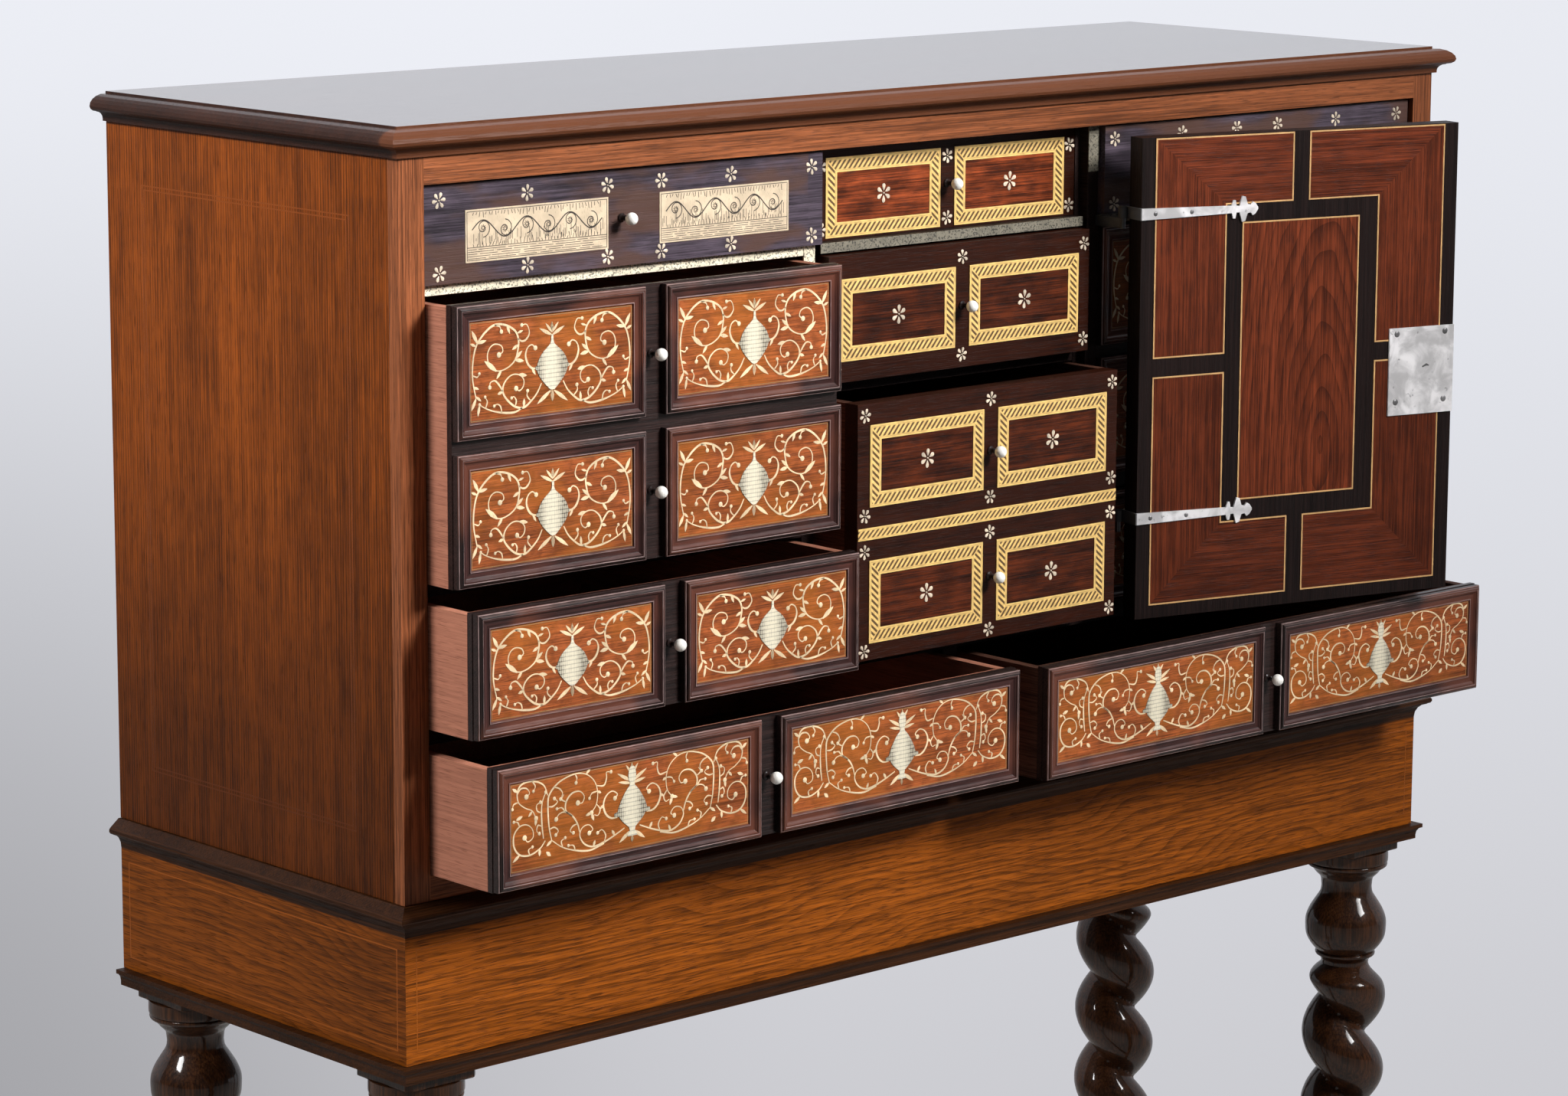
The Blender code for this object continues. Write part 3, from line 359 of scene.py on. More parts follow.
class Finish:
    """Node tree of one material, or of a world."""

    def __init__(self, name, kind="materials"):
        self.made = getattr(bpy.data, kind).new(name)
        self.made.use_nodes = True
        self.tree = self.made.node_tree
        self.tree.nodes.clear()

    def node(self, kind, settings=(), sockets=(), output=0):
        """Adds a node, sets it up, then fills its sockets with values or links."""
        made = self.tree.nodes.new(kind)
        for key, value in dict(settings).items():
            if key != "stops":
                setattr(made, key, value)
                continue
            ramp = made.color_ramp.elements
            while len(ramp) < len(value):
                ramp.new(1.0)
            for stop, (place, shade) in zip(ramp, value):
                stop.position, stop.color = place, shade
        for key, value in dict(sockets).items():
            if isinstance(value, Field):
                self.tree.links.new(value.socket, made.inputs[key])
            else:
                made.inputs[key].default_value = value
        return Field(self, made.outputs[output]) if made.outputs else None

    def place(self, grain):
        """Coordinates with the grain along x: of the laid grain map, or of the part itself."""
        if grain == "laid":
            return self.node("ShaderNodeUVMap", {"uv_map": "grain"})
        point = self.node("ShaderNodeTexCoord", output="Object")
        if grain == "X":
            return point
        parts = self.parts(point)
        order = {"Y": (1, 0, 2), "Z": (2, 0, 1)}[grain]
        return self.node("ShaderNodeCombineXYZ", (), {i: parts[j] for i, j in enumerate(order)})

    def normal(self):
        """Parts of the surface's direction."""
        return self.parts(self.node("ShaderNodeTexCoord", output="Normal"))

    def vector(self, operation, *values, output=0):
        return self.node("ShaderNodeVectorMath", {"operation": operation}, enumerate(values), output)

    def parts(self, vector):
        split = self.node("ShaderNodeSeparateXYZ", (), {0: vector})
        return [Field(self, socket) for socket in split.socket.node.outputs]

    def noise(self, vector, scale, detail, distortion=0.0):
        """Noise in cells of 1 / scale, with one scale for all directions or one for each."""
        scales = (scale,) * 3 if isinstance(scale, float) else scale
        stretched = self.vector("MULTIPLY", vector, scales)
        return self.node("ShaderNodeTexNoise", (), {
            "Vector": stretched, "Scale": 1.0, "Detail": detail,
            "Roughness": NOISE_ROUGHNESS, "Distortion": distortion,
        })

    def blend(self, share, first, second):
        """Mix of two colours."""
        sockets = {0: share, 6: first, 7: second}
        return self.node("ShaderNodeMix", {"data_type": "RGBA"}, sockets, 2)

    def turn_blend(self, share, first, second):
        """Mix of two places, which turns the grain."""
        sockets = {0: share, 4: first, 5: second}
        return self.node("ShaderNodeMix", {"data_type": "VECTOR"}, sockets, 1)

    def surface(self, base, rough, relief, depth=0.0002, **constants):
        """Closes the tree with one surface shader, its relief in metres."""
        bump = {"Strength": RELIEF_STRENGTH, "Distance": depth, "Height": relief}
        sockets = {"Base Color": base, "Roughness": rough,
                   "Normal": self.node("ShaderNodeBump", (), bump)}
        for key, value in constants.items():
            sockets[SOCKETS[key]] = value
        shader = self.node("ShaderNodeBsdfPrincipled", (), sockets)
        self.node("ShaderNodeOutputMaterial", (), {"Surface": shader})
        return self.made


def wood_look(finish, place, tint, figure=0.3, rings=300.0, warp=2.0, swirl=1.0, fine=1.0,
              pores=0.5, mottle=0.0, span=(0.42, 1.6), arch=None, fade=None):
    """Colour, roughness and relief of a wood with its grain along the place's x.

    An arch, as (x, y, squash), bends the growth rings round a point on the grain's map.
    A painted falloff of light, as (low, high, share), is painted shade that darkens the wood downwards.
    """
    broad = finish.noise(place, (1.7, 9.0, 9.0), 2.0) - 0.5
    sway = finish.noise(place, (2.2 * swirl, 5.5 * swirl, 5.5 * swirl), 1.5)
    streaks = finish.noise(place, (3.0 * fine, 170.0 * fine, 170.0 * fine), 3.0, 0.2) - 0.5
    fibres = finish.noise(place, (14.0, 820.0, 820.0), 3.0) - 0.5
    vessels = finish.noise(place, (55.0, 1500.0, 1500.0), 1.0).step(0.55, 0.66)
    if arch:
        away = finish.vector("SUBTRACT", place, (arch[0], arch[1], 0.0))
        away = finish.vector("MULTIPLY", away, (arch[2], 1.0, 0.0))
        across = finish.vector("LENGTH", away, output=1)
    else:
        _, y, z = finish.parts(place)
        across = y + z
    ring = (across * rings + sway * warp).repeat()
    late = ring * ring * ring - 0.25
    cloud = finish.noise(place, (30.0, 75.0, 75.0), 4.0) - 0.5
    tone = 0.5 + broad * 0.6 + streaks * 0.6 + fibres * 1.3 + cloud * mottle - late * (0.6 * figure)
    dark, light = toned(tint, span[0]), toned(tint, span[1])
    shade = finish.node("ShaderNodeValToRGB", {"stops": (
        (0.22, dark), (0.5, toned(tint, 1.0)), (0.8, light))}, {0: tone})
    shade = finish.blend(vessels * pores, shade, toned(tint, span[0] * 0.5))
    # Painted shade: the wood darkens towards the foot.
    if fade:
        height = finish.parts(finish.place("X"))[2]
        painted_falloff = (1 - height.step(fade[0], fade[1])) * (1 - fade[2])
        shade = finish.blend(painted_falloff, shade, toned(tint, 0.0))
    return shade, 0.42 + streaks * 0.16 + vessels * 0.2, fibres * 0.5 - vessels


def wood(name, tint, grain, coat=0.0, coat_rough=0.15, gloss=0.0, specular=POLISHED, **look):
    """Polished wood, its grain along an axis of the part or along the laid grain map."""
    finish = Finish(name)
    shade, rough, relief = wood_look(finish, finish.place(grain), tint, **look)
    return finish.surface(shade, rough - gloss, relief, coat=coat, coat_rough=coat_rough,
                          specular=specular)


def frame_wood(name, tint):
    """Rails with their grain across and stiles with their grain upright, darker to the right as painted shade."""
    finish = Finish(name)
    across, upright = finish.place("X"), finish.place("Z")
    x = finish.parts(across)[0]
    place = finish.turn_blend(abs(x) > STILE_EDGE, across, upright)
    shade, rough, relief = wood_look(finish, place, tint)
    # Painted shade that darkens the rails and stiles towards the right.
    shade = finish.blend(x.step(-0.3, 0.5) * 0.3, shade, toned(tint, 0.2))
    return finish.surface(shade, rough, relief, specular=POLISHED)


def top_wood(name, tint):
    """Dark polished top with a redder, rubbed front moulding."""
    finish = Finish(name)
    place = finish.place("X")
    shade, rough, relief = wood_look(finish, place, tint)
    front = (0.0 - finish.parts(place)[1]).step(TOP_EDGE, TOP_EDGE + 0.005)
    shade = finish.blend(front * 0.8, shade, toned(colours().frame, 0.5))
    level = finish.normal()[2].step(0.93, 0.99)
    return finish.surface(shade, rough, relief, coat=level, coat_rough=0.14, coat_ior=2.15,
                          specular=POLISHED)


def apron_wood(name, tint, lip):
    """Figured apron, its grain along each face, its end faces darkened as painted shade, under a dark lip that
    starts at a height.
    """
    finish = Finish(name)
    end = abs(finish.normal()[0]) > 0.7
    place = finish.turn_blend(end, finish.place("X"), finish.place("Y"))
    shade, rough, relief = wood_look(finish, place, tint, figure=0.45, rings=130.0, warp=13.0,
                                     swirl=2.0, fine=2.2, mottle=0.3, pores=0.7)
    # Painted shade on the end faces of the apron.
    shade = finish.blend(end * 0.4, shade, toned(tint, 0.1))
    edge = finish.parts(finish.place("X"))[2] > lip
    dark, dark_rough, _ = wood_look(finish, place, colours().legs, pores=0.3)
    rough = rough + edge * (dark_rough - rough)
    return finish.surface(finish.blend(edge, shade, dark), rough, relief, specular=DULL)


def moulded_wood(name, tint, worn, arrises, **look):
    """Moulding with browner patches, pale arrises at insets that show rubbed wear and a painted highlight, and a
    painted highlight where it faces up.
    """
    finish = Finish(name)
    place = finish.place("laid")
    shade, rough, relief = wood_look(finish, place, tint, **look)
    patch = finish.noise(finish.place("X"), 12.0, 2.0).step(0.44, 0.62)
    shade = finish.blend(patch * 0.55, shade, toned(colours().faded, 1.0))
    inset = (finish.parts(place)[1] * (1 / MAP_STEP)).repeat() * MAP_STEP
    rub = finish.noise(place, 60.0, 2.0).step(0.3, 0.7) * 0.5 + 0.5
    # Pale lines on the arrises: rubbed wear and a painted highlight of the ridges.
    line = sum(1 - abs(inset - arris).step(0.0001, 0.0004) for arris in arrises)
    shade = finish.blend(line * rub * 0.75, shade, toned(worn, 1.0))
    # Painted highlight on the upward faces, in the pale arris colour.
    upward = finish.normal()[2].step(0.3, 0.9)
    shade = finish.blend(upward * rub * 0.3, shade, toned(worn, 0.6))
    return finish.surface(shade, rough, relief, coat=0.3, coat_rough=0.15, specular=POLISHED)


def scroll_veneer(name, tint):
    """Mottled ground of the scroll panels with golden patches, over the laid map."""
    finish = Finish(name)
    place = finish.place("laid")
    shade, rough, relief = wood_look(finish, place, tint, figure=0.1, mottle=0.7, pores=0.6)
    blotch = finish.noise(place, (95.0, 130.0, 130.0), 4.0).step(0.42, 0.68)
    shade = finish.blend(blotch * 0.6, shade, toned(tint, 0.45))
    gold = finish.noise(place, 13.0, 3.0).step(0.40, 0.66)
    shade = finish.blend(gold * 0.35, shade, toned(colours().golden, 1.0))
    return finish.surface(shade, rough, relief, specular=POLISHED)


def drawer_wood(name, front, plane, stain, cedar):
    """Cedar box of a flat drawer behind a front of another wood with patches of stain, which ends at a plane."""
    finish = Finish(name)
    place = finish.place("X")
    shade, rough, relief = wood_look(finish, place, front, figure=0.1, mottle=1.0, pores=0.35)
    patch = finish.noise(place, (11.0, 11.0, 34.0), 3.0).step(0.42, 0.6)
    shade = finish.blend(patch * 0.8, shade, toned(stain, 1.0))
    box, box_rough, _ = wood_look(finish, finish.place("Y"), cedar, pores=0.4)
    inside = finish.parts(place)[1] > plane
    rough = rough + inside * (box_rough + 0.3 - rough)
    return finish.surface(finish.blend(inside, shade, box), rough, relief, specular=POLISHED)


def bone(name, tint, mottle=0.12, rough=0.42):
    """Polished bone with faint growth marks."""
    finish = Finish(name)
    place = finish.place("X")
    cloud = finish.noise(place, 60.0, 3.0)
    pits = finish.noise(place, (900.0, 900.0, 300.0), 2.0).step(0.58, 0.72)
    shade = finish.blend(cloud.step(0.35, 0.7), toned(tint, 1.0 - 2.5 * mottle), toned(tint, 1.0))
    shade = finish.blend(pits * 0.35, shade, toned(tint, 0.35))
    return finish.surface(shade, rough + cloud * 0.1, 0.0 - pits, coat=0.15)


def facing_bone(name, tint):
    """Bone strips rubbed with small dark specks."""
    finish = Finish(name)
    place = finish.place("X")
    specks = finish.noise(place, 560.0, 2.0).step(0.52, 0.6)
    bands = finish.noise(place, (90.0, 30.0, 160.0), 3.0)
    shade = finish.blend(bands.step(0.3, 0.65), toned(tint, 0.74), toned(tint, 1.05))
    shade = finish.blend(specks * 0.85, shade, toned(tint, 0.14))
    return finish.surface(shade, 0.5 + specks * 0.2, 0.0 - specks)


def urn_bone(name, tint):
    """Bone with engraved bands and shading strokes, over the laid map from the urn's middle."""
    finish = Finish(name)
    place = finish.place("laid")
    x, y, _ = finish.parts(place)
    belts = (y * 330.0).repeat().step(0.62, 0.8) - (y * 330.0).repeat().step(0.85, 1.0)
    strokes = (abs(x) * 560.0).repeat().step(0.45, 0.8)
    rim = abs(x + 0.0015).step(0.003, 0.0125)
    worn = finish.noise(place, 260.0, 2.0).step(0.36, 0.6)
    cut = belts * (0.35 + rim * 0.4) + strokes * worn * (0.2 + rim * 0.6)
    shade = finish.blend(rim * 0.6, toned(tint, 1.1), toned(tint, 0.35))
    shade = finish.blend(cut, shade, toned(colours().engraving, 0.8))
    return finish.surface(shade, 0.4, 0.0 - cut, depth=0.0001, coat=0.15)


def rope_boxwood(name, tint):
    """Boxwood band with slanting dark strokes between two dark lines, over the laid map."""
    finish = Finish(name)
    place = finish.place("laid")
    along, across, _ = finish.parts(place)
    slant = (along * 200.0 - across * 2.0).repeat()
    stroke = slant.step(0.40, 0.50) - slant.step(0.88, 0.98)
    middle = abs(across - 0.5)
    stroke = stroke * (1 - middle.step(0.27, 0.35))
    line = middle.step(0.34, 0.36) - middle.step(0.39, 0.41)
    tone = finish.noise(place, (120.0, 3.0, 1.0), 3.0)
    shade = finish.blend(tone.step(0.3, 0.7), toned(tint, 0.72), toned(tint, 1.05))
    dark = stroke * 0.95 + line * 0.3
    shade = finish.blend(dark, shade, toned(colours().hatch, 1.0))
    return finish.surface(shade, 0.38 + tone * 0.1, 0.0 - dark, depth=0.0001, coat=0.2)


def steel(name, tint, mottle=0.35, edge=None):
    """Filed steel with clouds of dull patina, black beyond an edge given as a point and a direction."""
    finish = Finish(name)
    place = finish.place("X")
    cloud = finish.noise(place, 48.0, 5.0, 0.6)
    filing = finish.noise(place, (60.0, 60.0, 1400.0), 2.0)
    dull = finish.noise(place, 230.0, 2.0).step(0.66, 0.78) * 0.5
    if edge:
        away = finish.vector("SUBTRACT", place, edge[0])
        dull = dull + finish.vector("DOT_PRODUCT", away, edge[1], output=1).step(0.0002, 0.0012)
    shade = finish.blend(cloud.step(0.38, 0.66), toned(tint, 1.0 - mottle), toned(tint, 1.05))
    shade = finish.blend(dull, shade, toned(tint, 0.08))
    rough = 0.28 + cloud * 0.3 + dull * 0.3
    return finish.surface(shade, rough, filing * 0.4 + cloud * 0.6, metal=0.6)


def stage_finish(name, tint, shown, foot=None, side=None):
    """Pale matt stage surface, of which a share is shown in its own colour rather than as lit.

    A backdrop has a foot colour, partly the wall's own lower tone and partly painted shade, which darkens away
    from a side as painted shade, and isn't seen from behind.
    """
    finish = Finish(name)
    place = finish.place("X")
    cloud = finish.noise(place, 0.5, 2.0)
    shade = finish.blend(cloud.step(0.3, 0.7), toned(tint, 0.96), toned(tint, 1.02))
    if foot:
        # Painted shade on the backdrop: darker towards its foot and towards the lower left; the foot is partly the
        # wall's own lower tone.
        rise = finish.parts(place)[2].step(-0.1, 1.35)
        shade = finish.blend(rise, toned(foot, 1.0), shade)
        across = finish.vector("DOT_PRODUCT", place, side, output=1)
        left = (1 - across.step(-1.0, 0.0)) * (1 - rise)
        shade = finish.blend(left, shade, toned(foot, 0.62))
    matt = finish.node("ShaderNodeBsdfDiffuse", (), {"Color": shade})
    rays = [finish.node("ShaderNodeLightPath", output=f"Is {kind} Ray")
            for kind in ("Camera", "Glossy", "Transmission")]
    seen = sum(rays) > 0.5
    glow = finish.node("ShaderNodeEmission", (), {"Color": shade, "Strength": 1.0})
    matt = finish.node("ShaderNodeMixShader", (), {0: seen * shown, 1: matt, 2: glow})
    if foot:
        clear = finish.node("ShaderNodeBsdfTransparent")
        behind = finish.node("ShaderNodeNewGeometry", output="Backfacing")
        matt = finish.node("ShaderNodeMixShader", (), {0: behind, 1: matt, 2: clear})
    finish.node("ShaderNodeOutputMaterial", (), {"Surface": matt})
    return finish.made


def rectangle(x0, y0, x1, y1):
    return [(x0, y0), (x1, y0), (x1, y1), (x0, y1)]


def inset(box, margin):
    """Box (left, foot, right, top) drawn in on all four sides."""
    return box[0] + margin, box[1] + margin, box[2] - margin, box[3] - margin


def shifted(shift, rise):
    """Grain map of a veneer cut from its own place on a board."""
    return lambda x, y: (x + shift, y + rise * shift)


def ring_faces(rings, sides):
    """Faces between rings of points, one ring after another."""
    faces = []
    for start in range(0, (rings - 1) * sides, sides):
        for i in range(sides):
            a, b = start + i, start + (i + 1) % sides
            faces.append((a, b, b + sides, a + sides))
    return faces


def linked(name, data):
    """New object in the scene."""
    made = bpy.data.objects.new(name, data)
    bpy.context.scene.collection.objects.link(made)
    return made


class Face:
    """Flat face that ornament is laid on: a corner, and its right and upward directions."""

    def __init__(self, origin, right, up=(0.0, 0.0, 1.0)):
        self.origin, self.right, self.up = Vector(origin), Vector(right), Vector(up)
        self.out = self.right.cross(self.up)

    def point(self, x, y, lift):
        return self.origin + self.right * x + self.up * y + self.out * lift


def front_face(node, depth=0.0):
    """Face of a drawer's front and its width and height."""
    low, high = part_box(node)
    size = high - low
    return Face((low.x, low.y + depth, low.z), (1.0, 0.0, 0.0)), size.x, size.z


class Laid:
    """Thin pieces laid on faces, gathered into one mesh with a map of their grain."""

    def __init__(self):
        self.points, self.polygons, self.grain = [], [], []

    def add(self, points, polygons, grain):
        start = len(self.points)
        self.points += points
        for polygon in polygons:
            self.polygons.append([start + i for i in polygon])
            self.grain += [grain[i] for i in polygon]

    def slab(self, face, outline, lift, depth, grain=None):
        """Flat piece with an outline that runs anticlockwise; grain maps (x, y) to the map."""
        count = len(outline)
        points = [face.point(x, y, lift) for x, y in outline]
        points += [face.point(x, y, lift - depth) for x, y in outline]
        polygons = [list(range(count))]
        for i in range(count):
            j = (i + 1) % count
            polygons.append([count + i, count + j, j, i])
        spots = [grain(x, y) if grain else (x, y) for x, y in outline]
        self.add(points, polygons, spots + spots)

    def ribbon(self, face, path, widths, lift, depth, closed=False):
        """Strip of varying width along a path, with mitred turns."""
        count = len(path)
        points, spots, run = [], [], 0.0
        for i, here in enumerate(path):
            before = path[i - 1] if i or closed else None
            after = path[(i + 1) % count] if i + 1 < count or closed else None
            normals = []
            for start, end in ((before, here), (here, after)):
                if start is not None and end is not None:
                    along = (Vector(end) - Vector(start)).normalized()
                    normals.append(Vector((-along.y, along.x)))
            side = sum(normals, Vector((0.0, 0.0))).normalized()
            side *= widths[i] / 2 / max(side.dot(normals[0]), LEAST_MITRE)
            run += (Vector(here) - Vector(before)).length if i else 0.0
            for sign, rise in ((-1, -depth), (-1, 0.0), (1, 0.0), (1, -depth)):
                points.append(face.point(here[0] + sign * side.x, here[1] + sign * side.y, lift + rise))
                spots.append((run, 0.5 + sign * 0.5))
        polygons = []
        for i in range(count if closed else count - 1):
            a, b = 4 * i, 4 * ((i + 1) % count)
            polygons += [[a + k, b + k, b + k + 1, a + k + 1] for k in range(3)]
        if not closed:
            last = 4 * (count - 1)
            polygons += [[0, 1, 2, 3], [last + 3, last + 2, last + 1, last]]
        self.add(points, polygons, spots)

    def border(self, face, box, width, lift, depth):
        """Mitred frame just inside a box, its grain map running along and across each side."""
        outer, inner = rectangle(*box), rectangle(*inset(box, width))
        for i in range(4):
            j = (i + 1) % 4
            start, along = Vector(outer[i]), (Vector(outer[j]) - Vector(outer[i])).normalized()

            def grain(x, y):
                offset = Vector((x, y)) - start
                return offset.dot(along), offset.dot(Vector((-along.y, along.x))) / width

            self.slab(face, [outer[i], outer[j], inner[j], inner[i]], lift, depth, grain)

    def dome(self, face, centre, radius, lift, rise, sides=12):
        """Round bud, boss or nail head."""
        points = []
        for share, height in DOME:
            for i in range(sides):
                angle = 2 * math.pi * i / sides
                x = centre[0] + radius * share * math.cos(angle)
                y = centre[1] + radius * share * math.sin(angle)
                points.append(face.point(x, y, lift + rise * height))
        top, start = len(points), len(points) - sides
        points.append(face.point(centre[0], centre[1], lift + rise))
        polygons = ring_faces(len(DOME), sides)
        polygons += [(start + i, start + (i + 1) % sides, top) for i in range(sides)]
        self.add(points, polygons, [(0.0, 0.0)] * len(points))

    def moulding(self, face, box, profile):
        """Mitred moulding round a box, its profile as (inset, rise) from the outer edge."""
        for i in range(4):
            points, spots = [], []
            for depth, rise in profile:
                corners = rectangle(*inset(box, depth))
                for x, y in (corners[i], corners[(i + 1) % 4]):
                    points.append(face.point(x, y, rise))
                    spots.append((y if i % 2 else x, depth + MAP_STEP * i))
            strips = range(0, 2 * len(profile) - 2, 2)
            self.add(points, [[k, k + 1, k + 3, k + 2] for k in strips], spots)

    def leaf(self, face, base, tip, width, lift, depth, ridge, shape=LEAF):
        """Pointed leaf from its base to its tip, with a raised middle."""
        start, along = Vector(base), Vector(tip) - Vector(base)
        side = Vector((-along.y, along.x)).normalized() * width / 2
        outline = [start + along * t - side * w for t, w in shape]
        outline += [start + along * t + side * w for t, w in reversed(shape[:-1])]
        count = len(outline)
        points = [face.point(p.x, p.y, lift) for p in outline]
        points += [face.point(p.x, p.y, lift - depth) for p in outline]
        middle = start + along * LEAF_CREST
        points.append(face.point(middle.x, middle.y, lift + ridge))
        polygons = []
        for i in range(count):
            j = (i + 1) % count
            polygons += [[i, j, 2 * count], [count + i, count + j, j, i]]
        self.add(points, polygons, [(p.x, p.y) for p in outline] * 2 + [(middle.x, middle.y)])

    def flower(self, face, centre, diameter, lift, turn):
        """Ridged petals round an open heart with a small boss."""
        for i in range(PETALS):
            angle = turn + 2 * math.pi * i / PETALS
            along = Vector((math.cos(angle), math.sin(angle))) * diameter / 2
            base, tip = Vector(centre) + along * PETAL_START, Vector(centre) + along
            self.leaf(face, base, tip, diameter * PETAL_WIDTH, lift, lift, FLOWER_RISE, PETAL)
        self.dome(face, centre, diameter * BOSS, lift, FLOWER_RISE, BOSS_SIDES)

    def piece(self, name, finish, body, slot):
        """Makes the mesh, gives it its finish and sets it on a body of the frame."""
        mesh = bpy.data.meshes.new(name)
        mesh.from_pydata(self.points, [], self.polygons)
        chart = mesh.uv_layers.new(name="grain")
        chart.data.foreach_set("uv", [part for spot in self.grain for part in spot])
        return set_piece(name, mesh, (finish,), body, slot)


def set_piece(name, mesh, finishes, body, slot, sharp=40.0):
    """Shades a mesh smooth between its sharp edges and sets it on a body of the frame."""
    mesh.polygons.foreach_set("use_smooth", [True] * len(mesh.polygons))
    mesh.set_sharp_from_angle(angle=math.radians(sharp))
    for finish in finishes:
        mesh.materials.append(finish)
    made = linked(name, mesh)
    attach(made, body)
    return made


def cover(finish, *nodes):
    """Gives solids of the frame a finish."""
    for node in nodes:
        slots = frame["nodes"][node].data.materials
        slots.clear()
        slots.append(finish)


def smooth(points, steps=6):
    """Even curve through points."""
    spots = [Vector(p) for p in points]
    spots = [2 * spots[0] - spots[1]] + spots + [2 * spots[-1] - spots[-2]]
    path = []
    for a, b, c, d in zip(spots, spots[1:], spots[2:], spots[3:]):
        for i in range(steps):
            t = i / steps
            path.append(0.5 * (2 * b + (c - a) * t + (2 * a - 5 * b + 4 * c - d) * t * t
                               + (3 * b - a - 3 * c + d) * t ** 3))
    return path + [spots[-2]]


def ring(level, half, groove=0.0, turn=0.0, square=False):
    """Ring of a turned mesh: height, half width, groove depth, turn of the ridge, square or round."""
    return level, half, groove, turn, square


def turned_mesh(name, rings, sides, centre, axis="Z"):
    """Closed mesh through rings, upright or towards the front."""
    points = []
    for level, half, groove, turn, square in rings:
        for i in range(sides):
            angle = 2 * math.pi * i / sides
            c, s = math.cos(angle), math.sin(angle)
            away = math.remainder(angle - turn, 2 * math.pi) / math.pi
            reach = half - groove * away ** 2
            if square:
                reach = min(half / max(abs(c), abs(s)), half * EASED_CORNER)
            x, y = reach * c, reach * s
            spot = (x, y, level) if axis == "Z" else (x, -level, y)
            points.append(Vector(centre) + Vector(spot))
    last = len(points) - sides
    polygons = ring_faces(len(rings), sides)
    polygons += [list(range(sides))[::-1], list(range(last, last + sides))]
    mesh = bpy.data.meshes.new(name)
    mesh.from_pydata(points, [], polygons)
    return mesh


class CABINET_OT_case(Operator):
    """Finishes of the carcass, lines on its sides and bone on the edges of its nest"""

    bl_idname = "cabinet.case"
    bl_label = "Dress the case"

    # Painted shade on the sides: where it ends below their tops, and how dark it is at the foot.
    polish_drop, polish_share = 0.15, 0.45
    # Step from the outer line of a side to the inner one.
    line_step = 0.0032
    # Bone edges: their margin, and the width and heights of those at the dividers' ends.
    margin, end_width, left_end, right_end = 0.0002, 0.0115, 0.040, 0.036

    def execute(self, context):
        shades, size = colours(), sizes()
        foot, crown = (corner.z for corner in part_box("side_left"))
        # Painted shade that darkens the sides and their lines towards the foot.
        painted_falloff = (foot, crown - self.polish_drop, self.polish_share)
        nest = ["dust_board", "bottom_divider", "divider_left", "divider_right"]
        nest += [f"shelf_{column}_{row}" for column in ("left", "right", "centre")
                 for row in ("upper", "lower")]
        cover(top_wood("polished_top", shades.top), "top_board")
        cover(wood("side_veneer", shades.side, "Z", figure=0.7, rings=330.0, warp=1.2, mottle=0.5,
                   specular=DULL, fade=painted_falloff), "side_left", "side_right")
        cover(frame_wood("front_rails", shades.frame), "face_frame")
        cover(wood("plain_boards", shades.boards, "X", gloss=-0.25, figure=0.5),
              "back_board", "bottom_board")
        cover(wood("nest_wood", shades.ebony, "Y", gloss=-0.2), *nest)
        lines = Laid()
        for node, right in (("side_left", -1.0), ("side_right", 1.0)):
            low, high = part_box(node)
            corner = (low.x, high.y, low.z) if right < 0 else (high.x, low.y, low.z)
            face = Face(corner, (0.0, right, 0.0))
            whole = (0.0, 0.0, high.y - low.y, high.z - low.z)
            for margin in (size.side_inset, size.side_inset + self.line_step):
                lines.border(face, inset(whole, margin), size.side_string, LINE_LIFT, LINE_DEPTH)
        string = wood("side_string", toned(shades.side, 1.2), "laid", fade=painted_falloff)
        lines.piece("side_lines", string, "cabinet", "case_wood")
        self.bone_edges(shades, size)
        return {"FINISHED"}

    def bone_edges(self, shades, size):
        """Speckled bone on the rail under the top row and at the dividers' ends, with painted shade darkening the
        strips at the centre, at the right and at the right divider's end.
        """
        bright, dull = Laid(), Laid()
        for column, strips in (("left", bright), ("centre", dull), ("right", dull)):
            face, width, height = front_face(f"shelf_{column}_upper")
            outline = rectangle(0.0, self.margin, width, height - self.margin)
            strips.slab(face, outline, size.facing, size.facing)
        left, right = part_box("divider_left")[0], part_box("divider_right")
        right_x = right[1].x - self.end_width - self.margin
        for strips, x, y, top, rise in (
            (bright, left.x, left.y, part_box("shelf_left_upper")[1].z, self.left_end),
            (dull, right_x, right[0].y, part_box("drawer_top_left")[1].z, self.right_end),
        ):
            face = Face((x, y, top - rise), (1.0, 0.0, 0.0))
            strips.slab(face, rectangle(self.margin, 0.0, self.end_width, rise), size.facing, size.facing)
        bright.piece("bone_edges", facing_bone("speckled_bone", shades.facing), "cabinet", "bone_edge")
        # The dull strips are darkened as painted shade.
        dull.piece("shaded_edges", facing_bone("shaded_bone", toned(shades.facing, 0.22)), "cabinet",
                   "bone_edge")


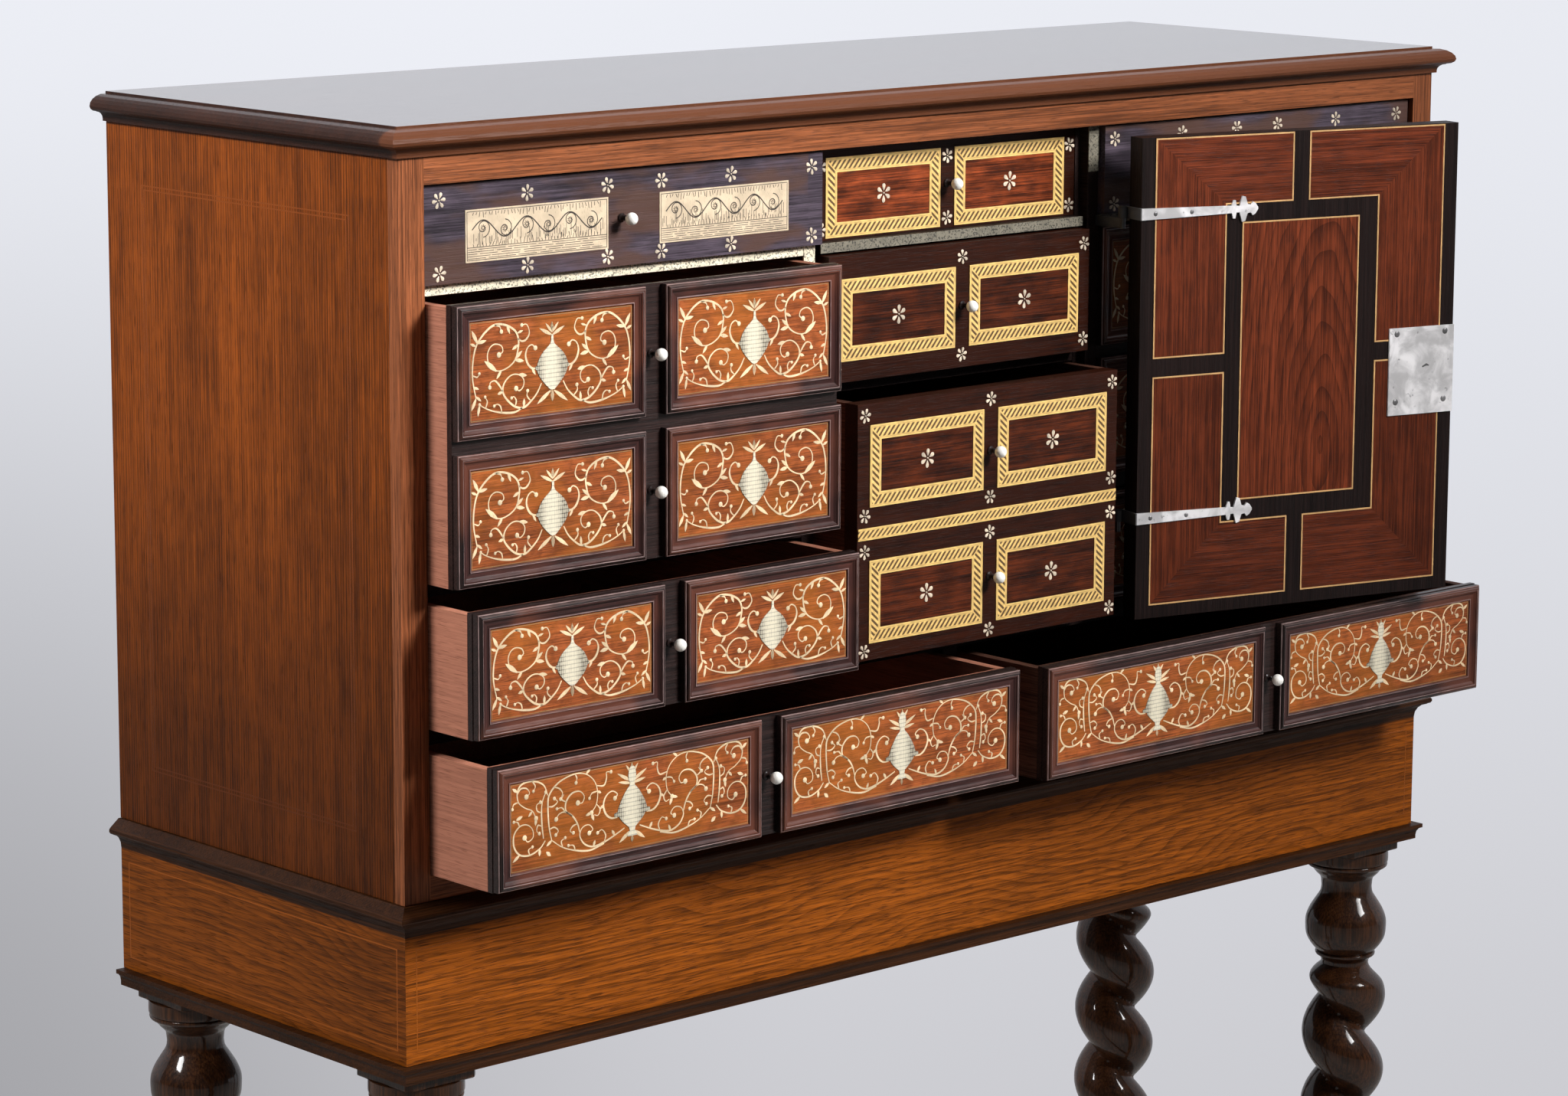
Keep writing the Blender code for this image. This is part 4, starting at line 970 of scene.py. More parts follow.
class CABINET_OT_moulded_fronts(Operator):
    """Moulded drawer fronts: ebony mouldings, figured panels and scroll inlay with urns"""

    bl_idname = "cabinet.moulded_fronts"
    bl_label = "Dress the moulded fronts"

    slots = {"ground": "rosewood", "long_ground": "rosewood", "scroll": "bone", "urn": "bone",
             "line": "bone", "bead": "ebony", "slope": "rosewood"}
    # Length from which a panel has the long design, and the thinner stems of that design.
    long_panel, long_stem = 0.2, 0.85
    # Line inside a panel's edge: its inset and width, and its depth.
    edge_line, edge_depth = 0.0005, 0.0003
    # Depth to which the inlay is let in, and the rises of its buds, leaves and urns.
    inlay_seat, bud_rise, leaf_ridge, urn_rise = 0.0002, 0.0003, 0.0001, 0.0003
    # Width of a stem along it: its share at the ends, its swell, and how soon the swell comes.
    stem_end, stem_swell, swell_speed = 0.62, 0.5, 1.6
    # Steps along a board from drawer to drawer and from panel to panel, and the step across for each.
    drawer_shift, panel_shift, grain_rise = 0.4, 0.1, 3.7

    def execute(self, context):
        shades = colours()
        ebony = wood("ebony_moulding", shades.ebony, "X", coat=0.3, pores=0.3, span=(0.4, 1.9))
        cedar = wood("cedar_box", shades.cedar, "Y", gloss=-0.3, figure=0.15, span=(0.82, 1.2))
        # Cedar darkened as painted shade, for the box of the bottom right drawer.
        shaded_cedar = wood("shaded_cedar_box", toned(shades.cedar, SHADED), "Y", gloss=-0.3)
        finishes = {
            "ground": scroll_veneer("scroll_veneer", shades.scroll),
            "long_ground": scroll_veneer("long_veneer", toned(shades.scroll, 1.05)),
            "scroll": bone("scroll_bone", shades.bone),
            "urn": urn_bone("urn_bone", shades.urn),
            "line": bone("panel_line", toned(shades.string, 0.55)),
            "bead": moulded_wood("bead_ebony", shades.ebony, shades.worn, (0.0006, 0.0036), pores=0.3,
                                 span=(0.4, 2.4)),
            "slope": moulded_wood("slope_rosewood", shades.slope, shades.worn, (0.0110,), pores=0.4,
                                  span=(0.4, 1.7)),
        }
        for number, (name, rows) in enumerate(MOULDED.items()):
            cover(ebony, f"front_{name}")
            cover(shaded_cedar if name == "bottom_right" else cedar, f"drawer_{name}")
            layers = {key: Laid() for key in finishes}
            face, width, height = front_face(f"front_{name}", PANEL_DEPTH)
            for count, box in enumerate(self.panels(width, height, rows)):
                shift = self.drawer_shift * number + self.panel_shift * count
                self.panel(face, box, layers, shift)
            for key, layer in layers.items():
                if layer.points:
                    layer.piece(f"{key}_{name}", finishes[key], f"{name}_drawer", self.slots[key])
        return {"FINISHED"}

    def panels(self, width, height, rows):
        """Boxes of the flat panels inside the mouldings of a front."""
        wide = (width - 2 * BLOCK_MARGIN - KNOB_BAND) / 2
        tall = (height - 2 * BLOCK_MARGIN - (rows - 1) * CROSS_BAND) / rows
        boxes = []
        for column in range(2):
            for row in range(rows):
                x = BLOCK_MARGIN + column * (wide + KNOB_BAND)
                y = BLOCK_MARGIN + row * (tall + CROSS_BAND)
                boxes.append(inset((x, y, x + wide, y + tall), MOULDING_WIDTH))
        return boxes

    def panel(self, face, box, layers, shift):
        """Mouldings, veneer, line, urn and mirrored scrolls of one panel."""
        size = sizes()
        x0, y0, x1, y1 = box
        long = x1 - x0 > self.long_panel
        around = inset(box, -MOULDING_WIDTH)
        layers["bead"].moulding(face, around, OUTER_BEAD)
        layers["slope"].moulding(face, around, INNER_SLOPE)
        ground = layers["long_ground" if long else "ground"]
        grain = shifted(shift, self.grain_rise)
        ground.slab(face, rectangle(*box), size.veneer, size.veneer, grain)
        layers["line"].border(face, inset(box, self.edge_line), self.edge_line,
                              size.veneer + LINE_RISE, self.edge_depth)
        middle, foot = (x0 + x1) / 2, y0 + DESIGN_FOOT
        half, tall = (x1 - x0) / 2 * DESIGN_REACH, (y1 - y0) * DESIGN_RISE

        def spot(u, v):
            return middle + u * half, foot + v * tall

        lift, depth = size.veneer + size.inlay, size.inlay + self.inlay_seat
        thick = size.stem * (self.long_stem if long else 1.0)
        stems, leaves = (LONG_STEMS, LONG_LEAVES) if long else (SCROLL_STEMS, SCROLL_LEAVES)
        scroll = layers["scroll"]
        for sign in (-1, 1):
            for points, share, bud in stems:
                path = smooth([spot(sign * u, v) for u, v in points])
                widths = self.stem_widths(thick * share, len(path))
                scroll.ribbon(face, path, widths, lift, depth)
                if bud:
                    scroll.dome(face, path[-1], size.bud * bud, lift, self.bud_rise)
            for base, tip, share in leaves:
                ends = [spot(sign * u, v) for u, v in (base, tip)]
                scroll.leaf(face, *ends, size.leaf * share, lift, depth, self.leaf_ridge)
        urn = VASE if long else URN
        outline = [spot(-w, v) for v, w in urn] + [spot(w, v) for v, w in reversed(urn)]
        layers["urn"].slab(face, outline, lift + self.urn_rise, depth + self.urn_rise,
                           lambda x, y: (x - middle, y - foot))

    def stem_widths(self, thick, count):
        """Widths along a stem, which swells before its middle."""
        runs = [min(1.0, self.swell_speed * i / count) for i in range(count)]
        return [thick * (self.stem_end + self.stem_swell * math.sin(math.pi * run)) for run in runs]


class Engraving:
    """Vine over a hatched ground, before ruled strokes and inside a border, cut into a plaque."""

    # Lift and depth of the cuts, and their widths from the finest to the vine.
    lift, depth = 0.00004, 0.00008
    ruled, hatch, edging, ray, coil, vine = 0.00040, 0.00042, 0.00050, 0.00055, 0.00070, 0.00090
    # Margins of the border and of the ground line, and the height of that line.
    edge_margin, ground_margin, ground_rise = 0.0012, 0.0014, 0.0105
    # Hatching: its rows, foot, step and margin, the room that a stroke needs, its strokes and gaps.
    hatch_rows, hatch_foot, hatch_step, hatch_margin, hatch_room = 5, 0.0026, 0.0016, 0.002, 0.012
    hatch_run, hatch_gap = (0.008, 0.026), (0.001, 0.004)
    # Vine: margin, headroom, waves, steps of a wave, and swing against the plaque over the ground.
    vine_margin, headroom, waves, wave_steps, swing_share = 0.006, 0.002, 6, 12, 0.24
    # Coil of a wave: its steps and their angle, then its drop, reach and loss of reach in swings.
    coil_steps, coil_turn, coil_drop, coil_reach, coil_loss = 26, 0.36, 0.15, 1.05, 0.036
    rays, ray_start, ray_end = 9, 0.0008, 0.0024
    # Blades of a wave: their count and greatest lean, start from ground and border, length in swings.
    blades, blade_lean, blade_foot, blade_head, blade_run = 7, 0.0012, 0.0004, 0.0002, (0.25, 0.75)
    # Ruled strokes: step, margin and share that is cut, then place over the ground and length.
    ruled_step, ruled_margin, ruled_share = 0.0011, 0.003, 0.55
    ruled_foot, ruled_rise, ruled_run = 0.0008, (0.0, 0.004), (0.002, 0.009)

    def __init__(self, face, box, lines, seed):
        self.face, self.box, self.lines = face, box, lines
        self.chance = random.Random(seed)
        self.level = sizes().veneer + self.lift
        self.ground = box[1] + self.ground_rise

    def cut(self):
        """Cuts the whole plaque, from its border to the ruled strokes."""
        x0, _, x1, _ = self.box
        edge = inset(self.box, self.edge_margin)
        self.lines.border(self.face, edge, self.edging, self.level, self.depth)
        left, right = x0 + self.ground_margin, x1 - self.ground_margin
        self.line(self.edging, (left, self.ground), (right, self.ground))
        self.hatching()
        self.run_vine()
        self.strokes()

    def line(self, width, *points):
        self.lines.ribbon(self.face, points, [width] * len(points), self.level, self.depth)

    def hatching(self):
        """Rows of broken lines below the ground."""
        x0, y0, x1, _ = self.box
        for i in range(self.hatch_rows):
            y = y0 + self.hatch_foot + i * self.hatch_step
            start = x0 + self.hatch_margin
            while start < x1 - self.hatch_room:
                end = min(start + self.chance.uniform(*self.hatch_run), x1 - self.hatch_margin)
                self.line(self.hatch, (start, y), (end, y))
                start = end + self.chance.uniform(*self.hatch_gap)

    def run_vine(self):
        """Vine in waves, each with a coil, a rayed flower and blades from the ground and the border."""
        x0, x1 = self.box[0] + self.vine_margin, self.box[2] - self.vine_margin
        top = self.box[3] - self.headroom
        span, middle = x1 - x0, (self.ground + top) / 2
        swing = (self.box[3] - self.ground) * self.swing_share
        steps = self.waves * self.wave_steps
        shares = [i / steps for i in range(steps + 1)]
        self.line(self.vine, *((x0 + span * share, middle + swing * math.sin(math.pi * self.waves * share))
                               for share in shares))
        for k in range(self.waves):
            sign = 1 if k % 2 else -1
            drop = sign * swing * self.coil_drop
            centre = Vector((x0 + span * (k + 0.5) / self.waves, middle - drop))
            self.wind(centre, swing, sign)
            self.grow(centre.x, span / self.waves, swing, top)

    def wind(self, centre, swing, sign):
        """Coil that winds in to a rayed flower."""
        spots = []
        for i in range(self.coil_steps):
            turn = sign * (math.pi / 2 - self.coil_turn * i)
            reach = swing * (self.coil_reach - self.coil_loss * i)
            spots.append(centre + Vector((math.cos(turn), math.sin(turn))) * reach)
        self.line(self.coil, *spots)
        for i in range(self.rays):
            angle = 2 * math.pi * i / self.rays
            way = Vector((math.cos(angle), math.sin(angle)))
            self.line(self.ray, centre + way * self.ray_start, centre + way * self.ray_end)

    def grow(self, middle, span, swing, top):
        """Pairs of blades along one wave, up from the ground and down from the border."""
        for i in range(self.blades):
            x = middle + (i - self.blades // 2) * span / self.blades
            tall = self.chance.uniform(*self.blade_run) * swing
            for y, way in ((self.ground + self.blade_foot, 1), (top - self.blade_head, -1)):
                lean = self.chance.uniform(-self.blade_lean, self.blade_lean)
                self.line(self.edging, (x, y), (x + lean, y + way * tall))

    def strokes(self):
        """Short upright strokes over the ground, some left out."""
        x0, _, x1, _ = self.box
        for i in range(int((x1 - x0 - 2 * self.ruled_margin) / self.ruled_step)):
            x = x0 + self.ruled_margin + i * self.ruled_step
            low = self.ground + self.ruled_foot + self.chance.uniform(*self.ruled_rise)
            if self.chance.random() < self.ruled_share:
                self.line(self.ruled, (x, low), (x, low + self.chance.uniform(*self.ruled_run)))


class CABINET_OT_flat_fronts(Operator):
    """Flat drawer fronts: engraved plaques, flower studs and hatched frames"""

    bl_idname = "cabinet.flat_fronts"
    bl_label = "Dress the flat fronts"

    # Plaques and studs up and across the lapped front, that front's width, and the depth of its lap.
    plaque_rise = (0.0135, 0.0510)
    stud_rise = (0.0077, 0.0595)
    stud_run = (0.0158, 0.0955, 0.1700, 0.2212, 0.2889, 0.3697)
    plaque_run = ((0.0393, 0.1706), (0.2195, 0.3462))
    lapped_width, lap_depth = 0.3810, 0.0056
    # Frames across a centre front, margins and relative size of its studs, and margin of its band.
    frames = ((0.0124, 0.1328), (0.1481, 0.2685))
    stud_left, stud_right, stud_share, band_margin = 0.0075, 0.0060, 0.95, 0.0005
    # Rows of frames up each centre front, its studs and its hatched band, and the tone of its veneers.
    rows = {
        "top_centre": (((0.0016, 0.0628),), (0.0082, 0.0562), None),
        "centre_small": (((0.0160, 0.0790),), (0.0100, 0.0862), None),
        "centre_tall": (((0.0130, 0.0770), (0.1180, 0.1812)),
                        (0.0070, 0.0840, 0.1118, 0.1886), (0.0932, 0.1024)),
    }
    tones = {"top_centre": 1.5, "centre_small": 0.45, "centre_tall": 0.45}
    # Studs of the top row and of the centre fronts: lift, turn from one to the next, turn by place.
    stud_lift, stud_turn, rise_turn = 0.0004, 0.3, 20.0
    centre_lift, centre_turn, across_turn = 0.0005, 0.4, 9.0
    # Turn of the first flower in a frame, and seed of the first plaque's engraving.
    flower_turn, first_seed = 0.5, 11
    # Steps along a board by row, by frame and by the length of the front's name, and the step across.
    row_shift, frame_shift, name_shift, grain_rise = 0.31, 0.17, 0.05, 2.3

    def execute(self, context):
        shades, size = colours(), sizes()
        self.shell = bone("flower_bone", shades.petal, 0.2)
        self.rope = rope_boxwood("hatched_boxwood", shades.boxwood)
        self.plaque = bone("plaque_bone", shades.plaque, 0.1)
        self.cut = bone("engraved_line", shades.engraving, 0.1, 0.6)
        for name in FLAT:
            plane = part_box(f"drawer_{name}")[0].y + FLAT_FRONT_DEPTH
            # The top row's fronts take the ebony with its painted reflection.
            front, stain, cedar = shades.painted_sheen_ebony, shades.stain, shades.cedar
            # The centre fronts have a darker ground, and their cedar boxes are darkened as painted shade.
            if name not in PLAQUED:
                front, cedar = toned(shades.centre, SHADED), toned(shades.cedar, SHADED)
                stain = front
            cover(drawer_wood(f"box_{name}", front, plane, stain, cedar), f"drawer_{name}")
        lap = Laid()
        face, width, height = front_face("drawer_top_left")
        lap.slab(face, rectangle(width, 0.0, width + size.lap, height), 0.0, self.lap_depth)
        # The lap takes the same ebony with its painted reflection.
        lap.piece("lap_top_left", wood("lapped_ebony", shades.painted_sheen_ebony, "X", pores=0.35),
                  "top_left_drawer", "ebony")
        self.plaques("top_left", 1.0, False)
        self.plaques("top_right", width / self.lapped_width, True)
        for name in self.rows:
            self.framed(name)
        return {"FINISHED"}

    def plaques(self, name, scale, mirrored):
        """Studs and two engraved plaques, laid out over the front's own width."""
        size = sizes()
        face, width, _ = front_face(f"drawer_{name}")

        def across(x):
            return width - x * scale if mirrored else x * scale

        studs, plates, lines = Laid(), Laid(), Laid()
        for count, x in enumerate(self.stud_run):
            for y in self.stud_rise:
                turn = self.stud_turn * count + self.rise_turn * y
                studs.flower(face, (across(x), y), size.stud, self.stud_lift, turn)
        for number, run in enumerate(self.plaque_run):
            left, right = sorted(map(across, run))
            box = (left, self.plaque_rise[0], right, self.plaque_rise[1])
            plates.slab(face, rectangle(*box), size.veneer, size.veneer)
            Engraving(face, box, lines, self.first_seed + number).cut()
        studs.piece(f"studs_{name}", self.shell, f"{name}_drawer", "bone")
        plates.piece(f"plaques_{name}", self.plaque, f"{name}_drawer", "bone")
        lines.piece(f"engraving_{name}", self.cut, f"{name}_drawer", "bone")

    def framed(self, name):
        """Hatched frames with a flower in each, a hatched band and studs between them."""
        size = sizes()
        face, width, _ = front_face(f"drawer_{name}")
        frames, studs, band = self.rows[name]
        ropes, veneers, flowers = Laid(), Laid(), Laid()
        lift = size.veneer + FRAME_RISE
        for number, (low, high) in enumerate(frames):
            for count, (left, right) in enumerate(self.frames):
                box = (left, low, right, high)
                ropes.border(face, box, size.rope, lift, lift)
                shift = self.row_shift * number + self.frame_shift * count + self.name_shift * len(name)
                veneers.slab(face, rectangle(*inset(box, size.rope)), size.veneer, size.veneer,
                             shifted(shift, self.grain_rise))
                centre = ((left + right) / 2, (low + high) / 2)
                flowers.flower(face, centre, size.flower, lift, self.flower_turn + count + number)
        if band:
            foot, top = band
            ropes.slab(face, rectangle(self.band_margin, foot, width - self.band_margin, top), lift, lift,
                       lambda x, y: (x, (y - foot) / (top - foot)))
        for count, y in enumerate(studs):
            for x in (self.stud_left, width / 2, width - self.stud_right):
                turn = self.centre_turn * count + self.across_turn * x
                flowers.flower(face, (x, y), size.stud * self.stud_share, self.centre_lift, turn)
        ropes.piece(f"ropes_{name}", self.rope, f"{name}_drawer", "bone")
        rosewood = wood(f"veneer_{name}", toned(colours().centre, self.tones[name]), "laid", figure=0.2,
                        rings=140.0, warp=4.0, mottle=1.2, span=(0.3, 2.2))
        veneers.piece(f"veneers_{name}", rosewood, f"{name}_drawer", "rosewood")
        flowers.piece(f"flowers_{name}", self.shell, f"{name}_drawer", "bone")


class CABINET_OT_knobs(Operator):
    """Turned bone knobs on dark stems"""

    bl_idname = "cabinet.knobs"
    bl_label = "Turn the knobs"

    # Rosette and stem with a bead as (reach from the seat, radius).
    stem = ((0.0, 0.0032), (0.0006, 0.0034), (0.0012, 0.0027), (0.0016, 0.0019), (0.0030, 0.0015),
            (0.0042, 0.0015), (0.0046, 0.0021), (0.0052, 0.0022), (0.0057, 0.0016))
    # Sides of a knob, steps of its ball, angle left open at the tip, and the bone's reach in radii.
    sides, ball_steps, ball_end, bone_reach = 28, 12, 0.12, 2.02

    def execute(self, context):
        radius = sizes().knob
        finishes = (wood("knob_stem", colours().ebony, "Y", coat=0.2),
                    bone("knob_bone", colours().ivory, 0.06, 0.3))
        bodies = {node: body for body, group in frame["record"]["behaviour"]["bodies"].items()
                  for node in group}
        for node in sorted(name for name in frame["nodes"] if name.startswith("knob_")):
            low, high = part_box(node)
            seat = ((low.x + high.x) / 2, high.y, (low.z + high.z) / 2)
            reach = high.y - low.y
            mesh = turned_mesh(node, self.rings(reach, radius), self.sides, seat, "Y")
            made = set_piece(f"turned_{node}", mesh, finishes, bodies[node], "bone", sharp=50.0)
            for polygon in mesh.polygons:
                away = high.y - polygon.center.y
                polygon.material_index = int(away > reach - self.bone_reach * radius)
            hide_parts(node)
        return {"FINISHED"}

    def rings(self, reach, radius):
        """Profile from the seat outwards: rosette and stem, then the ball."""
        profile = list(self.stem)
        start = math.asin(self.stem[-1][1] / radius)
        for i in range(self.ball_steps + 1):
            angle = start + (math.pi - start - self.ball_end) * i / self.ball_steps
            profile.append((reach - radius - radius * math.cos(angle), radius * math.sin(angle)))
        return [ring(level, half) for level, half in profile]


class CABINET_OT_door(Operator):
    """Door: mitred rosewood panels in ebony with boxwood lines, straps, lock and nails"""

    bl_idname = "cabinet.door"
    bl_label = "Dress the door"

    # Panel lines of the inner face from its hinge edge and foot.
    field = (0.0133, 0.0110, 0.2905, 0.3846)
    band = (0.0796, 0.0728, 0.2270, 0.3303)
    heart = (0.0960, 0.0905, 0.2080, 0.3144)
    cross = (0.1431, 0.1593)
    bar = (0.1944, 0.2104)
    # Places of the nails on the lock and on the straps, from the same edges and from the top.
    lock_run, lock_rise = (0.2476, 0.2955), (0.1590, 0.2152)
    strap_run, strap_drop, strap_rise = (0.012, 0.046), 0.0602, 0.0818
    # Nails as (radius, lift, rise), and the keyhole's points, widths, lift and depth.
    lock_nail, strap_nail = (0.0027, 0.0018, 0.0007), (0.0019, 0.0019, 0.0006)
    keyhole = (((0.2735, 0.1868), (0.2775, 0.1884), (0.2800, 0.1876)), (0.0012, 0.0018, 0.0010),
               0.0021, 0.0003)
    # Margins of the two lines on the outer face, and the place of its veneer on the board.
    outer_margin, outer_step, outer_grain = 0.020, 0.030, (4.4, 0.6)
    # Corner veneers on their board: step along it from one to the next, steps across it of level and
    # upright ones, and where the upright ones start.
    corner_shift, level_rise, upright_rise, upright_start = 0.37, 1.9, 1.3, 5.3

    def execute(self, context):
        shades = colours()
        low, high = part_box("door_panel")
        pin = next(joint for joint in frame["joints"] if joint["name"] == "door_hinge")["pos_m"]
        turn = Matrix.Rotation(DOOR_TURN, 3, "Z")
        across = turn @ Vector((1.0, 0.0, 0.0))
        foot = Vector((pin[0], pin[1], low.z))
        inner = foot + turn @ Vector((-DOOR_EDGE, DOOR_INNER, 0.0))
        outer = foot + turn @ Vector((-DOOR_EDGE - DOOR_WIDTH, DOOR_OUTER, 0.0))
        face, back, height = Face(inner, -across), Face(outer, across), high.z - low.z
        cover(wood("door_ebony", toned(shades.ebony, 0.55), "Z", pores=0.3), "door_panel")
        cover(steel("strap_steel", shades.steel, edge=(inner, across)), "strap_hinge_upper",
              "strap_hinge_lower")
        cover(steel("pintle_steel", toned(shades.steel, 0.12)), "pintle_upper", "pintle_lower")
        cover(steel("lock_steel", shades.steel), "lock_plate")
        veneers, lines, heart, nails = Laid(), Laid(), Laid(), Laid()
        self.inner_face(face, veneers, lines)
        self.outer_face(back, height, veneers, lines)
        # Painted shade darkens both rosewoods of the door towards its foot.
        rosewood = wood("door_rosewood", shades.rosewood, "laid", figure=0.25, rings=160.0, warp=3.0,
                        mottle=0.6, span=(0.4, 1.8), fade=(low.z, high.z, 0.65))
        veneers.piece("door_veneers", rosewood, "door", "rosewood")
        self.veneer(face, heart, rectangle(*self.heart), lambda x, y: (y, x))
        figured = wood("heart_rosewood", shades.rosewood, "laid", figure=0.45, rings=150.0, warp=3.0,
                       swirl=3.5, mottle=0.6, span=(0.4, 1.9), arch=(0.13, 0.175, 0.3),
                       fade=(low.z, high.z, 0.9))
        heart.piece("door_heart", figured, "door", "rosewood")
        lines.piece("door_stringing", bone("door_string", shades.string, 0.1), "door", "bone")
        for xs, ys, nail in ((self.lock_run, self.lock_rise, self.lock_nail),
                             (self.strap_run, (height - self.strap_drop, self.strap_rise), self.strap_nail)):
            for spot in ((x, y) for x in xs for y in ys):
                nails.dome(face, spot, *nail)
        nails.ribbon(face, *self.keyhole)
        nails.piece("door_nails", steel("nail_steel", toned(shades.steel, 0.22), 0.4), "door", "steel")
        return {"FINISHED"}

    def inner_face(self, face, veneers, lines):
        """Mitred veneers in the four corners, and lines round each corner and round the heart."""
        size = sizes()
        x0, y0, x1, y1 = self.field
        a0, b0, a1, b1 = self.band
        outlines = []
        for y, b, d in ((y1, b1, self.bar[1]), (y0, b0, self.bar[0])):
            for x, a, c in ((x0, a0, self.cross[0]), (x1, a1, self.cross[1])):
                shift = self.corner_shift * len(outlines)
                start = self.upright_start + self.upright_rise * shift
                self.veneer(face, veneers, [(x, y), (a, b), (c, b), (c, y)],
                            shifted(shift, self.level_rise))
                self.veneer(face, veneers, [(x, y), (x, d), (a, d), (a, b)],
                            lambda u, v: (v + shift, u + start))
                outlines.append([(x, d), (a, d), (a, b), (c, b), (c, y), (x, y)])
        for outline in outlines + [rectangle(*self.heart)]:
            widths = [size.string] * len(outline)
            lines.ribbon(face, outline, widths, size.veneer + LINE_RISE, size.veneer, closed=True)

    def veneer(self, face, veneers, outline, grain):
        """Veneer whose outline may run either way."""
        area = sum(a[0] * b[1] - b[0] * a[1] for a, b in zip(outline, outline[1:] + outline[:1]))
        outline = outline if area > 0 else outline[::-1]
        veneers.slab(face, outline, sizes().veneer, sizes().veneer, grain)

    def outer_face(self, face, height, veneers, lines):
        """Plain rosewood field in an ebony border with a double line."""
        size = sizes()
        field = inset((0.0, 0.0, DOOR_WIDTH, height), self.outer_margin)
        along, across = self.outer_grain
        self.veneer(face, veneers, rectangle(*field), lambda x, y: (y + along, x + across))
        for box in (field, inset(field, self.outer_step)):
            lines.border(face, box, size.string, size.veneer + LINE_RISE, size.veneer)


class CABINET_OT_stand(Operator):
    """Stand: figured apron with lines, dark mouldings and twisted legs"""

    bl_idname = "cabinet.stand"
    bl_label = "Dress the stand"

    # Height of the apron's lip, sides of a leg, and easing of its square lengths.
    lip_height, sides, ease = 0.0236, 44, 0.0008
    # Legs, as the solids have them: height of the top, and each length as (height, half width).
    leg_top, post, abacus, block = 0.6164, (0.0950, 0.0160), (0.0090, 0.0325), (0.0700, 0.0260)
    cap, bulb, neck = (0.0270, 0.0354), (0.0639, 0.0350), 0.0218
    collar, ankle, collar_neck = (0.0115, 0.0260), (0.0202, 0.0260), 0.0204
    # Twist: turns, pitch, ridge's radius, groove's depth, steps of a turn, and its start by place.
    turns, pitch, ridge, groove, steps = 5.25, 0.0672, 0.0360, 0.0190, 32
    starts = {"front": math.radians(158.0), "back": math.radians(315.0)}
    # Foot: height, and radii of neck, belly and pad. Steps of its belly, and parts, its neck being one.
    foot, foot_steps, foot_parts = (0.0620, 0.0200, 0.0330, 0.0240), 16, 6
    # Turned profiles as (share of the height, share of the way from the neck to the full radius).
    cap_shape = ((0.0, 1.0), (0.36, 1.0), (0.40, 0.88), (0.44, 0.96), (0.53, 0.93), (0.60, 0.68),
                 (0.76, 0.42), (0.90, 0.14), (1.0, 0.05))
    bulb_shape = ((0.10, 0.0), (0.19, 0.08), (0.30, 0.41), (0.42, 0.76), (0.55, 0.99), (0.70, 1.0),
                  (0.80, 0.92), (0.90, 0.66), (0.98, 0.34))
    collar_shape = ((0.04, 0.75), (0.12, 1.0), (0.32, 0.92), (0.48, 0.45), (0.70, 0.10), (1.0, 0.0))
    ankle_shape = ((0.30, 0.0), (0.45, 0.8), (0.60, 1.0), (0.75, 0.8), (0.90, 0.0), (1.0, 0.0))

    def execute(self, context):
        shades = colours()
        low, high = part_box("stand_apron")
        lip = high.z - self.lip_height
        cover(apron_wood("figured_apron", shades.apron, lip), "stand_apron")
        turned = wood("turned_wood", shades.legs, "Z", coat=0.45, coat_rough=0.07, pores=0.35,
                      specular=DULL, mottle=0.8, span=(0.35, 2.2))
        level = wood("stand_wood", shades.legs, "X", pores=0.35, specular=DULL, span=(0.45, 1.9))
        cover(level, "stand_moulding", "stretcher")
        string = wood("apron_string", toned(shades.apron, 1.2), "laid")
        self.lines(low.z, lip).piece("apron_lines", string, "cabinet", "apron_wood")
        for name in ("front_left", "front_right", "back_left", "back_right"):
            low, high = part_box(f"leg_{name}")
            centre = ((low.x + high.x) / 2, (low.y + high.y) / 2, 0.0)
            rings = self.rings(self.starts[name.split("_")[0]])
            mesh = turned_mesh(f"leg_{name}", rings[::-1], self.sides, centre)
            made = set_piece(f"turned_leg_{name}", mesh, (turned,), "cabinet", "leg_wood", sharp=35.0)
            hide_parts(f"leg_{name}")
        return {"FINISHED"}

    def lines(self, foot, lip):
        """Thin lines round the faces of the apron, which stands back under its lip."""
        size = sizes()
        low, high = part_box("side_left")
        left, right = low.x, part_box("side_right")[1].x
        front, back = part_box("face_frame")[0].y, high.y
        lines = Laid()
        for corner, way, span in (
            ((left, front, foot), (1.0, 0.0, 0.0), right - left),
            ((left, back, foot), (0.0, -1.0, 0.0), back - front),
            ((right, front, foot), (0.0, 1.0, 0.0), back - front),
        ):
            box = inset((0.0, 0.0, span, lip - foot), size.apron_inset)
            lines.border(Face(corner, way), box, size.side_string, LINE_LIFT, LINE_DEPTH)
        return lines

    def turned(self, top, size, neck, shape):
        """Turned length of a leg as rings from the top down."""
        height, widest = size
        return [ring(top - spot.x * height, neck + (widest - neck) * spot.y) for spot in smooth(shape, 4)]

    def squared(self, top, size):
        """Square length with eased edges."""
        height, half = size
        levels = ((0.0, self.ease), (self.ease, 0.0), (height - self.ease, 0.0), (height, self.ease))
        return [ring(top - drop, half - cut, square=True) for drop, cut in levels]

    def twisted(self, top, start):
        """Twisted length, its ridge growing out of the collar and dying away over a quarter turn."""
        rings = []
        count = round(self.turns * self.steps)
        for i in range(1, count):
            grown = math.sin(math.pi / 2 * min(1.0, 4 * i / self.steps, 4 * (count - i) / self.steps))
            half = self.collar_neck + (self.ridge - self.collar_neck) * grown
            turn = start + 2 * math.pi * i / self.steps
            rings.append(ring(top - self.pitch * i / self.steps, half, self.groove * grown, turn))
        return rings

